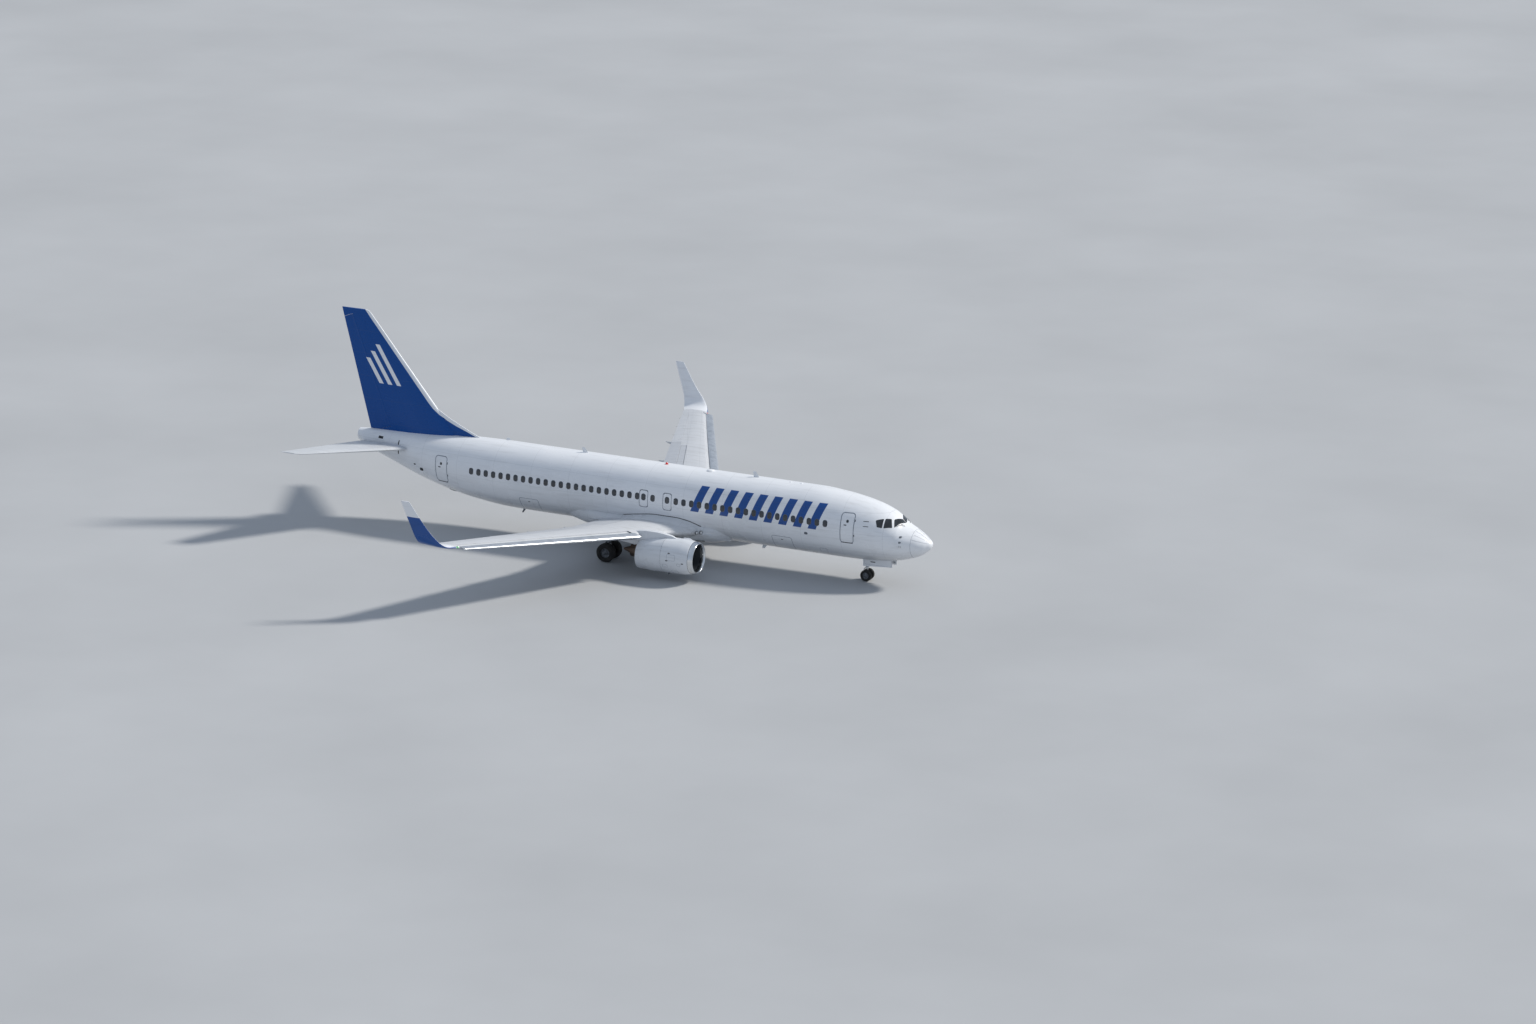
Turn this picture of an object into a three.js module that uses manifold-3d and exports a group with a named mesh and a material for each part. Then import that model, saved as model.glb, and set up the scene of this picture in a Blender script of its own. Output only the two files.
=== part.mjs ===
// A twin-engine narrow-body airliner standing on its wheels, built as separate pieces.
// Millimetres, +Z up, nose towards +X, port side towards +Y, tyres standing on Z = 0.
// Places along the body are stations, measured aft from the nose tip.
import * as THREE from "three";
import { mergeVertices } from "three/addons/utils/BufferGeometryUtils.js";
import Module from "manifold-3d";

const wasm = await Module();
wasm.setup();

// Driving dimensions
const overallLength = 39470;
const halfSpan = 17895;
const mainGearStation = 19600;
const noseGearStation = 4120;
const sitSlope = 0.0125; // the body stands slightly nose-down on its gear
const gap = 0.4; // between pieces that touch
const clear = 12; // round pieces that move
const mainTrack = 5720;
const mainWheelSpacing = 864;
const mainTyreRadius = 565;
const mainTyreWidth = 410;
const noseWheelSpacing = 400;
const noseTyreRadius = 343;
const noseTyreWidth = 197;
const engineY = 4830;
const engineZ = 1480;
const lipStation = 12750;
const doorDepth = 60;

const X = (station) => overallLength / 2 - station;
const sit = (x) => -sitSlope * (x - X(mainGearStation));
const seat = ([x, y, z]) => [x, y, z + sit(x)];
const lerp = (a, b, t) => a + (b - a) * t;

// Reads a table of rows at a value of its first column, straight between rows.
function rowAt(table, key) {
  let i = 1;
  while (i < table.length - 1 && table[i][0] < key) i++;
  const [a, b] = [table[i - 1], table[i]];
  const t = (key - a[0]) / (b[0] - a[0]);
  return a.map((v, k) => lerp(v, b[k], t));
}

// Solids from closed geometries

function solid(geometry) {
  const bare = geometry.clone();
  bare.deleteAttribute("normal");
  bare.deleteAttribute("uv");
  const merged = mergeVertices(bare, 1e-3);
  const p = merged.attributes.position.array;
  const index = merged.index.array;
  const faces = [];
  let volume = 0;
  const corner = new THREE.Vector3();
  for (let i = 0; i < index.length; i += 3) {
    const [a, b, c] = [index[i], index[i + 1], index[i + 2]];
    if (a === b || b === c || a === c) continue;
    faces.push([a, b, c]);
    const [va, vb, vc] = [a, b, c].map((k) => new THREE.Vector3(p[3 * k], p[3 * k + 1], p[3 * k + 2]));
    volume += va.dot(corner.crossVectors(vb, vc));
  }
  if (volume < 0) faces.forEach((f) => f.reverse());
  return new wasm.Manifold(
    new wasm.Mesh({ numProp: 3, vertProperties: p, triVerts: new Uint32Array(faces.flat()) }),
  );
}

const join = (...parts) => parts.flat().reduce((a, b) => a.add(b));
const cut = (whole, ...tools) => tools.flat().reduce((a, b) => a.subtract(b), whole);

function geometryOf(manifold) {
  const m = manifold.getMesh();
  const geometry = new THREE.BufferGeometry();
  geometry.setAttribute("position", new THREE.BufferAttribute(new Float32Array(m.vertProperties), 3));
  geometry.setIndex(new THREE.BufferAttribute(new Uint32Array(m.triVerts), 1));
  geometry.computeVertexNormals();
  return geometry;
}

// A skin through rings of points, closed at both ends. Wing-like rings are capped by a strip
// from upper to lower side, and round ones by a fan.
function loft(rings, wingLike = false) {
  const n = rings[0].length;
  const points = rings.flat();
  const index = [];
  for (let r = 0; r + 1 < rings.length; r++)
    for (let i = 0; i < n; i++) {
      const [a, b] = [r * n + i, r * n + ((i + 1) % n)];
      index.push(a, b, a + n, b, b + n, a + n);
    }
  for (const [start, flip] of [[0, true], [(rings.length - 1) * n, false]]) {
    const tri = (a, b, c) => index.push(...(flip ? [a, c, b] : [a, b, c]));
    if (wingLike)
      for (let i = 0; i < n - 2 - i; i++) {
        tri(start + i, start + i + 1, start + n - 1 - i);
        if (i + 1 < n - 2 - i) tri(start + i + 1, start + n - 2 - i, start + n - 1 - i);
      }
    else {
      const ring = points.slice(start, start + n);
      const middle = [0, 1, 2].map((k) => ring.reduce((s, p) => s + p[k], 0) / n);
      points.push(middle);
      for (let i = 0; i < n; i++) tri(start + i, start + ((i + 1) % n), points.length - 1);
    }
  }
  const geometry = new THREE.BufferGeometry();
  geometry.setAttribute("position", new THREE.Float32BufferAttribute(points.flat(), 3));
  geometry.setIndex(index);
  return solid(geometry);
}

// A block between two corners, given as stations, Y and Z.
function block(s0, s1, y0, y1, z0, z1) {
  const box = new THREE.BoxGeometry(Math.abs(s1 - s0), Math.abs(y1 - y0), Math.abs(z1 - z0));
  return solid(box.translate(X((s0 + s1) / 2), (y0 + y1) / 2, (z0 + z1) / 2));
}

// A rod, cone or pin between two points.
function rod(p, q, r0, r1 = r0, sides = 12) {
  const [a, b] = [new THREE.Vector3(...p), new THREE.Vector3(...q)];
  const along = b.clone().sub(a);
  const shape = new THREE.CylinderGeometry(r1, r0, along.length(), sides);
  const up = new THREE.Vector3(0, 1, 0);
  const turn = new THREE.Quaternion().setFromUnitVectors(up, along.clone().normalize());
  return solid(shape.applyQuaternion(turn).translate(...a.add(b).multiplyScalar(0.5).toArray()));
}

// An outline of [station, Y] points, standing between two heights.
function planPrism(outline, z0 = -2000, z1 = 16000) {
  const shape = new THREE.Shape(outline.map(([s, y]) => new THREE.Vector2(X(s), y)));
  const slab = new THREE.ExtrudeGeometry(shape, { depth: z1 - z0, bevelEnabled: false });
  return solid(slab.translate(0, 0, z0));
}

// An outline of [station, Z] points, lying between two values of Y.
function sidePrism(outline, y0, y1) {
  const shape = new THREE.Shape(outline.map(([s, z]) => new THREE.Vector2(X(s), z)));
  const slab = new THREE.ExtrudeGeometry(shape, { depth: y1 - y0, bevelEnabled: false });
  return solid(slab.rotateX(Math.PI / 2).translate(0, y1, 0));
}

// Body of the aircraft

// station, crown height, keel height, half width, height of the widest point
const bodySections = [
  [30, 3065, 2800, 150, 2935],
  [160, 3175, 2610, 350, 2920],
  [400, 3355, 2380, 600, 2900],
  [800, 3605, 2140, 880, 2910],
  [1660, 4030, 1840, 1265, 3000],
  [1900, 4240, 1780, 1350, 3050],
  [2350, 4565, 1700, 1480, 3120],
  [2800, 4785, 1630, 1580, 3190],
  [3400, 4990, 1570, 1680, 3280],
  [4300, 5195, 1520, 1780, 3380],
  [5600, 5385, 1495, 1850, 3500],
  [7200, 5500, 1490, 1880, 3620],
  [25500, 5500, 1490, 1880, 3620],
  [27500, 5500, 1530, 1870, 3630],
  [29500, 5470, 1710, 1800, 3680],
  [31500, 5400, 2050, 1620, 3800],
  [33500, 5300, 2580, 1320, 3980],
  [35500, 5200, 3270, 930, 4230],
  [37200, 5110, 3890, 560, 4490],
  [38020, 5030, 4300, 350, 4660],
];
const bodySides = 26;

function bodyRing(station, grow = 0) {
  const [, crown, keel, half, waist] = rowAt(bodySections, station);
  return Array.from({ length: bodySides }, (_, i) => {
    const a = (2 * Math.PI * i) / bodySides;
    const rise = Math.sin(a) > 0 ? crown - waist : waist - keel;
    return seat([X(station), (half + grow) * Math.cos(a), waist + (rise + grow) * Math.sin(a)]);
  });
}

// The body between two stations; grow swells it outwards.
function body(from, to, grow = 0) {
  const inner = bodySections.map((r) => r[0]).filter((s) => s > from && s < to);
  return loft([from, ...inner, to].map((s) => bodyRing(s, grow)));
}

// Y of the body's skin at a station and height.
function skinY(station, z) {
  const [, crown, keel, half, waist] = rowAt(bodySections, station);
  const rise = z > waist ? crown - waist : waist - keel;
  return half * Math.sqrt(Math.max(0, 1 - ((z - waist) / rise) ** 2));
}

// Wing-like surfaces

// Half-thickness of a symmetric section at a fraction of its chord, per unit of thickness.
const thicknessAt = (t) =>
  5 * (0.2969 * Math.sqrt(t) - 0.126 * t - 0.3516 * t ** 2 + 0.2843 * t ** 3 - 0.1036 * t ** 4);
const chordSteps = 6;

// Points round a section, as [fraction of chord, height over chord], from the upper trailing
// edge round the nose to the lower trailing edge.
function sectionPoints(thickness, camber, edge) {
  const side = (sign, i) => {
    const t = 0.5 * (1 - Math.cos((Math.PI * i) / chordSteps));
    const bend = camber * Math.sin(Math.PI * t);
    return [t, bend + sign * (thickness * thicknessAt(t) + edge * t)];
  };
  const upper = Array.from({ length: chordSteps + 1 }, (_, i) => side(1, chordSteps - i));
  const lower = Array.from({ length: chordSteps }, (_, i) => side(-1, i + 1));
  return [...upper, ...lower];
}

// Y, leading edge station, trailing edge station, height, thickness over chord
const wingSections = [
  [900, 13330, 20430, 2050, 0.135],
  [1880, 14150, 20450, 2160, 0.13],
  [3900, 15838, 20560, 2400, 0.125],
  [5700, 16774, 20650, 2620, 0.12],
  [16600, 22442, 24123, 3980, 0.106],
];
const wingCamber = 0.016;

function wingRing(row, side, grow) {
  const [y, lead, trail, z, thickness] = row;
  const chord = trail - lead;
  return sectionPoints(thickness, wingCamber, 0.003).map(([t, h], i) => {
    const swell = grow * Math.sign(chordSteps - i);
    return seat([X(lead - grow + t * (chord + 2 * grow)), side * y, z + h * chord + swell]);
  });
}
const wholeWing = (side, grow = 0) => loft(wingSections.map((r) => wingRing(r, side, grow)), true);

// A point on the wing's middle surface at Y and a fraction of the chord, in plan and in space.
const wingPlan = (y, t) => {
  const [, lead, trail] = rowAt(wingSections, y);
  return lerp(lead, trail, t);
};
function wingPoint(side, y, t) {
  const [, lead, trail, z] = rowAt(wingSections, y);
  return seat([X(wingPlan(y, t)), side * y, z + wingCamber * Math.sin(Math.PI * t) * (trail - lead)]);
}
// A patch of the wing in plan between two Y and two chord fractions, shrunk all round by inset.
function wingPatch(side, y0, y1, t0, t1, inset = 0) {
  const corner = (y, t, push) => [wingPlan(y, t) + push, side * y];
  const [front, back] = [[t0].flat(), [t1].flat()];
  return planPrism([
    corner(y0 + inset, front[0], inset), corner(y1 - inset, front.at(-1), inset),
    corner(y1 - inset, back.at(-1), -inset), corner(y0 + inset, back[0], -inset),
  ]);
}
// The fixed nose that the slats leave bare: the wing's own section, slimmer and set back.
function bareNose(side, grow = 0) {
  const slim = ([y, lead, trail, z, thickness]) => [y, lead + 150, trail, z, thickness * 0.84];
  return loft(wingSections.map(slim).map((r) => wingRing(r, side, grow)), true);
}
function moved(manifold, x, y, z) {
  return solid(geometryOf(manifold).translate(x, y, z));
}
function slidOut(manifold) {
  const geometry = geometryOf(manifold);
  const p = geometry.attributes.position;
  for (let i = 0; i < p.count; i++) {
    p.setX(i, p.getX(i) + slatOut(p.getY(i)));
    p.setZ(i, p.getZ(i) - slat.drop);
  }
  return solid(geometry);
}
function slats(side, whole) {
  const patch = wingPatch(side, slat.y0, slat.y1, -0.2, slat.backs, gap);
  const under = moved(bareNose(side, 18), 70, 0, -75);
  const shell = slidOut(cut(whole.intersect(patch), bareNose(side, 18), under));
  const tracks = slat.tracks.map((y) => {
    const [x, , z] = wingPoint(side, y, 0);
    const lead = overallLength / 2 - x;
    return block(lead - slatOut(y) + 40, lead + 300, side * y - 25, side * y + 25, z - 60, z - 12);
  });
  const closed = wingPatch(side, slat.y0 - 1, slat.y1 + 1, -0.2, slat.backs.map((t) => t + 0.2));
  return largest(cut(join(shell, tracks), bareNose(side, gap).intersect(closed)));
}

// A control surface that turns on a hinge line: the moving piece, what to cut from the fixed one,
// and the pins that the fixed one carries. The line runs from p to q, as points in space.
function hinged(whole, p, q, noses, aft, depth, pinRadius) {
  const [a, b] = [new THREE.Vector3(...p), new THREE.Vector3(...q)];
  const along = b.clone().sub(a).normalize();
  const behind = new THREE.Vector3(...aft);
  const back = behind.addScaledVector(along, -along.dot(behind)).normalize();
  const thick = new THREE.Vector3().crossVectors(along, back).normalize();
  const slab = (extra, front) => {
    const middle = a.clone().add(b).multiplyScalar(0.5).addScaledVector(back, (depth + front) / 2);
    const box = new THREE.BoxGeometry(a.distanceTo(b) + 2 * extra, depth - front, 1400);
    box.applyMatrix4(new THREE.Matrix4().makeBasis(along, back, thick)).translate(...middle.toArray());
    return solid(box);
  };
  const at = (end, d) => end.clone().addScaledVector(along, d).toArray();
  const cone = (extra, swell) => rod(at(a, -extra), at(b, extra), noses[0] + swell, noses[1] + swell, 10);
  const pins = [[a, 1], [b, -1]].flatMap(([end, way]) => [
    rod(at(end, -50 * way), at(end, 50 * way), pinRadius, pinRadius, 8),
    rod(at(end, -50 * way), at(end, -gap * way), pinRadius + 12, pinRadius + 12, 8),
  ]);
  const bores = [[a, 1], [b, -1]].map(([end, way]) => {
    const radius = pinRadius + 3;
    return rod(at(end, -50 * way), at(end, 52 * way), radius, radius, 8);
  });
  const moving = cut(join(whole.intersect(slab(0, 0)), cone(0, 0)), bores);
  return { moving, cutter: join(slab(clear, -1), cone(clear, clear)), pins };
}

const meshes = [];
const joints = {};
const paint = {
  white: [0xf2f3f5, 0.35, 0.0], blue: [0x0a3f86, 0.35, 0.0], grey: [0xb9bdc2, 0.45, 0.2],
  metal: [0xd5d8dc, 0.2, 0.9], dark: [0x2a2c30, 0.6, 0.3], tyre: [0x1b1b1d, 0.9, 0.0],
  glass: [0x15181c, 0.1, 0.0], gear: [0xcfd2d6, 0.4, 0.3],
};
const finish = Object.fromEntries(
  Object.entries(paint).map(([name, [color, roughness, metalness]]) => [
    name, new THREE.MeshStandardMaterial({ name, color, roughness, metalness }),
  ]),
);
function add(name, manifold, look) {
  const mesh = new THREE.Mesh(geometryOf(manifold), finish[look]);
  mesh.name = name;
  meshes.push(mesh);
}

const sides = [["left", 1], ["right", -1]];

// Belly fairing under the wing roots: station, keel height, half width, height of the widest point
const fairingSections = [
  [12500, 1560, 1180, 2150],
  [13600, 1330, 1700, 2120],
  [15200, 1230, 1960, 2100],
  [19800, 1230, 1980, 2100],
  [21400, 1330, 1800, 2150],
  [23000, 1560, 1300, 2250],
];
const fairingRise = 620;
function fairing(grow = 0) {
  return loft(
    fairingSections.map(([station, keel, half, waist]) =>
      Array.from({ length: 22 }, (_, i) => {
        const a = (2 * Math.PI * i) / 22;
        const square = (v) => Math.sign(v) * Math.abs(v) ** 0.8;
        const rise = Math.sin(a) > 0 ? fairingRise : waist - keel;
        const y = (half + grow) * square(Math.cos(a));
        return seat([X(station), y, waist + (rise + grow) * square(Math.sin(a))]);
      }),
    ),
  );
}

// Wheel wells and nose gear bay
const wellY = 800;
const wellRadius = 600;
const wellTop = 1950;
const wells = sides.map(([, side]) => {
  const at = (z) => [X(mainGearStation), side * wellY, z];
  return rod(at(900), at(wellTop), wellRadius, wellRadius, 20);
});
const bay = { front: 2300, back: 4400, half: 330, roof: 2250 };
const noseBay = block(bay.front, bay.back, -bay.half, bay.half, 900, bay.roof);

// A rounded door outline in side view, swelled by grow.
function doorPrism(door, side, grow) {
  const [s0, s1, z0, z1] = [door.front - grow, door.back + grow, door.sill - grow, door.top + grow];
  const r = door.corner + grow;
  const outline = [];
  const corners = [[s1 - r, z0 + r, 3], [s1 - r, z1 - r, 0], [s0 + r, z1 - r, 1], [s0 + r, z0 + r, 2]];
  for (const [s, z, start] of corners)
    for (let i = 0; i <= 2; i++) {
      const a = ((start + i / 2) * Math.PI) / 2;
      outline.push([s + r * Math.cos(a), z + r * Math.sin(a)]);
    }
  return sidePrism(outline, side > 0 ? 900 : -2300, side > 0 ? 2300 : -900);
}
// A skin panel in the body's side, with its pocket. lift moves it with the body's stance.
function doorPanel(door, side, round, behind = round) {
  const lift = sit(X((door.front + door.back) / 2));
  const seated = { ...door, sill: door.sill + lift, top: door.top + lift };
  const [from, to] = [door.front - 400, door.back + 400];
  const shell = (depth) => cut(body(from, to, 5), body(from - 1, to + 1, -depth));
  const whole = body(from, to);
  const panel = cut(doorPrism(seated, side, 0).intersect(whole), body(from - 1, to + 1, -doorDepth));
  const pocket = doorPrism(seated, side, round).intersect(shell(doorDepth + behind));
  return { panel, pocket };
}

const cabinDoorCorner = 150;
// name, side, front and back stations, sill and top heights
const cabinDoors = [
  ["entry_door_front_left", 1, 4350, 5210, 2830, 4660],
  ["entry_door_rear_left", 1, 31150, 32010, 2860, 4560],
  ["service_door_front_right", -1, 4310, 5070, 2900, 4560],
  ["service_door_rear_right", -1, 31200, 31960, 2860, 4420],
].map(([name, side, front, back, sill, top]) => {
  return { name, side, front, back, sill, top, corner: cabinDoorCorner };
});
const exitStations = [16280, 17830];
const exit = { width: 510, sill: 3280, height: 960, corner: 110, inset: 18, pin: 9 };

function buildBody() {
  const pockets = [];
  const pins = [];
  for (const door of cabinDoors) {
    const { panel, pocket } = doorPanel(door, door.side, gap);
    pockets.push(pocket);
    add(door.name, panel, "white");
  }
  for (const [sideName, side] of sides)
    exitStations.forEach((station, i) => {
      const door = {
        front: station - exit.width / 2, back: station + exit.width / 2,
        sill: exit.sill, top: exit.sill + exit.height, corner: exit.corner,
      };
      const { panel, pocket } = doorPanel(door, side, clear, 2.2 * clear);
      const z = door.top - exit.inset;
      const y = side * (skinY(station, z) - exit.inset);
      const ends = [door.front + exit.corner, door.back - exit.corner].map((s) => seat([X(s), y, z]));
      const beyond = [door.front - 40, door.back + 40].map((s) => seat([X(s), y, z]));
      pockets.push(pocket);
      // hinge rod lies along the top edge, held in the body at both ends
      pins.push(rod(beyond[0], beyond[1], exit.pin, exit.pin, 12));
      const name = `overwing_exit_${i ? "rear" : "front"}_${sideName}`;
      add(name, cut(panel, rod(beyond[0], beyond[1], exit.pin + 0.6, exit.pin + 0.6, 12)), "white");
      joints[name] = { pos: seat([X(station), y, z]), ends };
    });
  const glass = [
    [1600, 4150], [1690, 4000], [1960, 3955], [2400, 3925], [2880, 3940],
    [3090, 4100], [3110, 4330], [2700, 4385], [2290, 4330], [1930, 4258], [1860, 4300],
  ].map(([s, z]) => [s, z + sit(X(s))]);
  const nose = body(600, 5000, 5);
  const pane = sidePrism(glass, -1700, 1700);
  const behind = body(599, 5001, -30);
  const glazing = cut(pane.intersect(body(600, 5000)), behind);
  const glassPocket = cut(pane.intersect(nose), body(599, 5001, -30 - gap));
  const glassGap = 1 + 1e-4;
  const tailEnd = bodySections[bodySections.length - 1];
  const outlet = (tailEnd[1] + tailEnd[2]) / 2;
  const exhaust = rod(seat([X(37500), 0, outlet]), seat([X(38100), 0, outlet]), 200, 200, 16);
  const tipSection = bodySections[0];
  const tipRing = bodyRing(tipSection[0]).map(([, y, z]) => {
    const middle = tipSection[4] + sit(X(0));
    return [X(0), y * 0.25, lerp(middle, z, 0.25)];
  });
  const rings = [tipRing, ...bodySections.map((r) => bodyRing(r[0]))];
  const hull = cut(loft(rings), pockets, glassPocket, wells, noseBay, exhaust);
  const pad = rod([X(nosePad.station), 0, nosePad.foot], [X(nosePad.station), 0, 1700], nosePad.radius);
  add("fuselage", join(hull, pins, pad), "white");
  add("cockpit_glazing", shrinkInto(glazing, glassGap), "glass");
  add("belly_fairing", cut(fairing(), body(11000, 25000, gap), wells), "white");
}

// A copy that is a hair smaller about its own middle, so that it stands clear in its pocket.
function shrinkInto(manifold, factor) {
  const geometry = geometryOf(manifold);
  geometry.computeBoundingBox();
  const middle = geometry.boundingBox.getCenter(new THREE.Vector3());
  geometry.translate(...middle.clone().negate().toArray());
  geometry.scale(1 / factor, 1 / factor, 1 / factor);
  geometry.translate(...middle.toArray());
  return solid(geometry);
}

// Wings: patches as Y and chord fractions
const aileron = { y0: 11900, y1: 15900, hinge: 0.76, noses: [80, 52] };
const flaps = { inboard: [2250, 5520, 0.77], outboard: [5720, 11500, 0.745] };
const spoilers = {
  inboard: [3150, 4950, 0.62, 0.755],
  outboard: [6350, 10950, 0.6, 0.73],
};
// Jacking pads under the wings and the nose: station, Y, height of the flat foot, radius
const wingPad = { station: 18300, y: 3900, foot: 2150, radius: 70 };
const nosePad = { station: 1850, foot: 1520, radius: 60 };
// Slats, standing out ahead of the fixed leading edge on their tracks
const slat = {
  y0: 5450, y1: 16350, backs: [0.114, 0.2], outs: [430, 330], drop: 60,
  tracks: [5900, 8300, 10700, 13100, 15700],
};
const slatOut = (y) => lerp(...slat.outs, (Math.abs(y) - slat.y0) / (slat.y1 - slat.y0));
const spoilerThick = 46;
// Flap track fairings: Y, length, half width, half depth
const trackFairings = [
  [5820, 3300, 150, 230],
  [8700, 2900, 135, 205],
  [11600, 2500, 120, 180],
];
function trackFairing(side, [y, length, half, depth], grow = 0) {
  const [, lead, trail, z] = rowAt(wingSections, y);
  const back = trail + 420;
  // share of the length, share of the full section, drop below the wing's reference height
  const shape = [[0, 0.1, 90], [0.15, 0.65, 160], [0.45, 1, 200], [0.75, 0.8, 165], [1, 0.08, 70]];
  return loft(
    shape.map(([share, size, drop]) =>
      Array.from({ length: 8 }, (_, i) => {
        const a = (2 * Math.PI * i) / 8;
        const station = back - length * (1 - share);
        return seat([
          X(station),
          side * y + (half * size + grow) * Math.cos(a),
          z - drop + (depth * size + grow) * Math.sin(a),
        ]);
      }),
    ),
  );
}

// Winglet: Y, height over the wing tip, leading edge, chord, lean of the section from level
const wingletSections = [
  [16600 + gap, 0, 22442, 1681, 0],
  [16900, 45, 22600, 1650, 10],
  [17200, 150, 22780, 1600, 28],
  [17430, 350, 22980, 1500, 50],
  [17570, 650, 23250, 1330, 68],
  [17690, 1300, 23800, 1000, 78],
  [halfSpan, 2740, 24760, 540, 82],
];
function winglet(side) {
  const tip = rowAt(wingSections, 16600);
  return loft(
    wingletSections.map(([y, up, lead, chord, lean]) => {
      const a = (lean * Math.PI) / 180;
      const inset = y === halfSpan ? 0.045 * chord * Math.sin(a) : 0;
      return sectionPoints(lean > 60 ? 0.09 : 0.105, wingCamber * Math.cos(a), 0.004).map(([t, h]) => {
        const rise = h * chord;
        const out = y - inset - rise * Math.sin(a);
        return seat([X(lead + t * chord), side * out, tip[3] + up + rise * Math.cos(a)]);
      });
    }),
    true,
  );
}

function buildWing(name, side) {
  const whole = wholeWing(side);
  const rootCut = join(body(11000, 25000, gap), fairing(gap));
  const canoes = trackFairings.map((row) => trackFairing(side, row));
  const canoesGrown = trackFairings.map((row) => trackFairing(side, row, gap));
  const cutters = [];
  const pins = [];

  const line = [aileron.y0, aileron.y1].map((y) => wingPoint(side, y, aileron.hinge));
  const ail = hinged(whole, line[0], line[1], aileron.noses, [-1, 0, 0], 900, 16);
  add(`aileron_${name}`, ail.moving, "white");
  joints[`aileron_${name}`] = { pos: line[0], to: line[1] };
  cutters.push(ail.cutter);
  pins.push(...ail.pins);

  for (const [part, [y0, y1, front]] of Object.entries(flaps)) {
    const flap = cut(whole.intersect(wingPatch(side, y0, y1, front, 1.1, gap)), canoesGrown, rootCut);
    add(`flap_${part}_${name}`, largest(flap), "grey");
    cutters.push(wingPatch(side, y0, y1, front, 1.2));
  }
  const lower = (drop) => {
    const geometry = geometryOf(whole);
    return solid(geometry.translate(0, 0, -drop));
  };
  for (const [part, [y0, y1, front, back]] of Object.entries(spoilers)) {
    const patch = wingPatch(side, y0, y1, front, back);
    const room = wingPatch(side, y0 - clear, y1 + clear, front - 0.008, back + 0.004);
    const pocket = cut(room.intersect(wholeWing(side, 5)), lower(spoilerThick + 8));
    const panel = cut(patch.intersect(whole), lower(spoilerThick));
    const deep = 22;
    const ends = [y0, y1].map((y) => spoilerHinge(side, y, front, deep));
    const along = new THREE.Vector3(...ends[1]).sub(new THREE.Vector3(...ends[0])).normalize();
    const at = (end, d) => new THREE.Vector3(...ends[end]).addScaledVector(along, d).toArray();
    const reach = [[at(0, -50), at(0, 45)], [at(1, 50), at(1, -45)]];
    const bores = [[at(0, -50), at(0, 47)], [at(1, 50), at(1, -47)]];
    pins.push(...reach.map(([p, q]) => rod(p, q, 8)));
    add(`spoiler_${part}_${name}`, cut(panel, bores.map(([p, q]) => rod(p, q, 8.6))), "grey");
    joints[`spoiler_${part}_${name}`] = { pos: ends[0], to: ends[1] };
    cutters.push(pocket);
  }
  const slatPatch = wingPatch(side, slat.y0, slat.y1, -0.2, slat.backs);
  add(`slats_${name}`, slats(side, whole), "metal");
  const fixed = cut(join(cut(whole, slatPatch), bareNose(side).intersect(slatPatch)), cutters, rootCut);
  const padX = X(wingPad.station);
  const pad = rod([padX, side * wingPad.y, wingPad.foot], [padX, side * wingPad.y, 2400], wingPad.radius);
  const wing = cut(join(fixed, canoes, pins, pad), rootCut);
  add(`wing_${name}`, wing, "grey");
  add(`winglet_${name}`, winglet(side), "blue");
}

// The hinge line of a spoiler, a little under the wing's upper skin just behind its front edge.
function spoilerHinge(side, y, front, deep) {
  const [, lead, trail, z, thickness] = rowAt(wingSections, y);
  const chord = trail - lead;
  const t = front + 22 / chord;
  const top = wingCamber * Math.sin(Math.PI * t) + thickness * thicknessAt(t) + 0.003 * t;
  return seat([X(lead + t * chord), side * y, z + top * chord - deep - 6]);
}

const largest = (manifold) => manifold.decompose().sort((a, b) => b.volume() - a.volume())[0];

// Fin: height, leading edge, trailing edge, thickness
const finSections = [
  [5000, 31320, 37232, 560],
  [7400, 33250, 37842, 450],
  [9800, 35170, 38452, 330],
  [12200, 37330, 39063, 190],
  [12500, 37760, 39139, 120],
];
// The dorsal fillet ahead of it: station and height of its upper edge
const dorsal = [[29690, 5440], [30770, 5920], [31800, 6410], [32480, 6800], [33290, 7400]];
const rudder = { low: [35850, 5430], high: [38380, 12150], noses: [170, 78] };

function finRing([z, lead, trail, thickness]) {
  const chord = trail - lead;
  const at = ([t, h]) => seat([X(lead + t * chord), h * chord, z]);
  return sectionPoints(thickness / chord, 0, 0.0025).map(at);
}

function buildFin() {
  const top = body(28000, 38020, gap);
  const outline = [...dorsal, [34600, 7400], [34600, 5000], [29690, 5000]];
  const blade = cut(
    sidePrism(outline.map(([s, z]) => [s, z + sit(X(s))]), -70, 70),
    ...[1, -1].map((side) => dorsalBevel(side)),
  );
  const whole = join(loft(finSections.map(finRing), true), blade);
  const line = [rudder.low, rudder.high].map(([s, z]) => seat([X(s), 0, z]));
  const turned = hinged(whole, line[0], line[1], rudder.noses, [-1, 0, 0], 2400, 25);
  joints.rudder = { pos: line[0], to: line[1] };
  add("rudder", cut(turned.moving, body(28000, 38020, 14)), "blue");
  add("fin", largest(cut(join(cut(whole, turned.cutter), turned.pins), top)), "blue");
}
// Shaves the dorsal blade to a thin upper edge on one side.
function dorsalBevel(side) {
  const [edge, foot, away] = [18, 75, 400].map((y) => side * y);
  const ring = ([s, z]) => [[edge, 0], [foot, -1500], [away, -1500], [away, 400], [edge, 400]]
    .map(([y, up]) => seat([X(s), y, z + up]));
  return loft(dorsal.map(ring));
}

// Stabiliser: Y, leading edge, trailing edge, height, thickness over chord
const tailSections = [
  [500, 33640, 37570, 4400, 0.1],
  [6950, 38060, 39410, 5045, 0.09],
  [7175, 38480, overallLength, 5070, 0.05],
];
const elevator = { y0: 1050, y1: 6850, hinge: 0.7, noses: [122, 42] };
const trimPivot = { station: 36300, pin: 90, bore: 93 };

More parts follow.
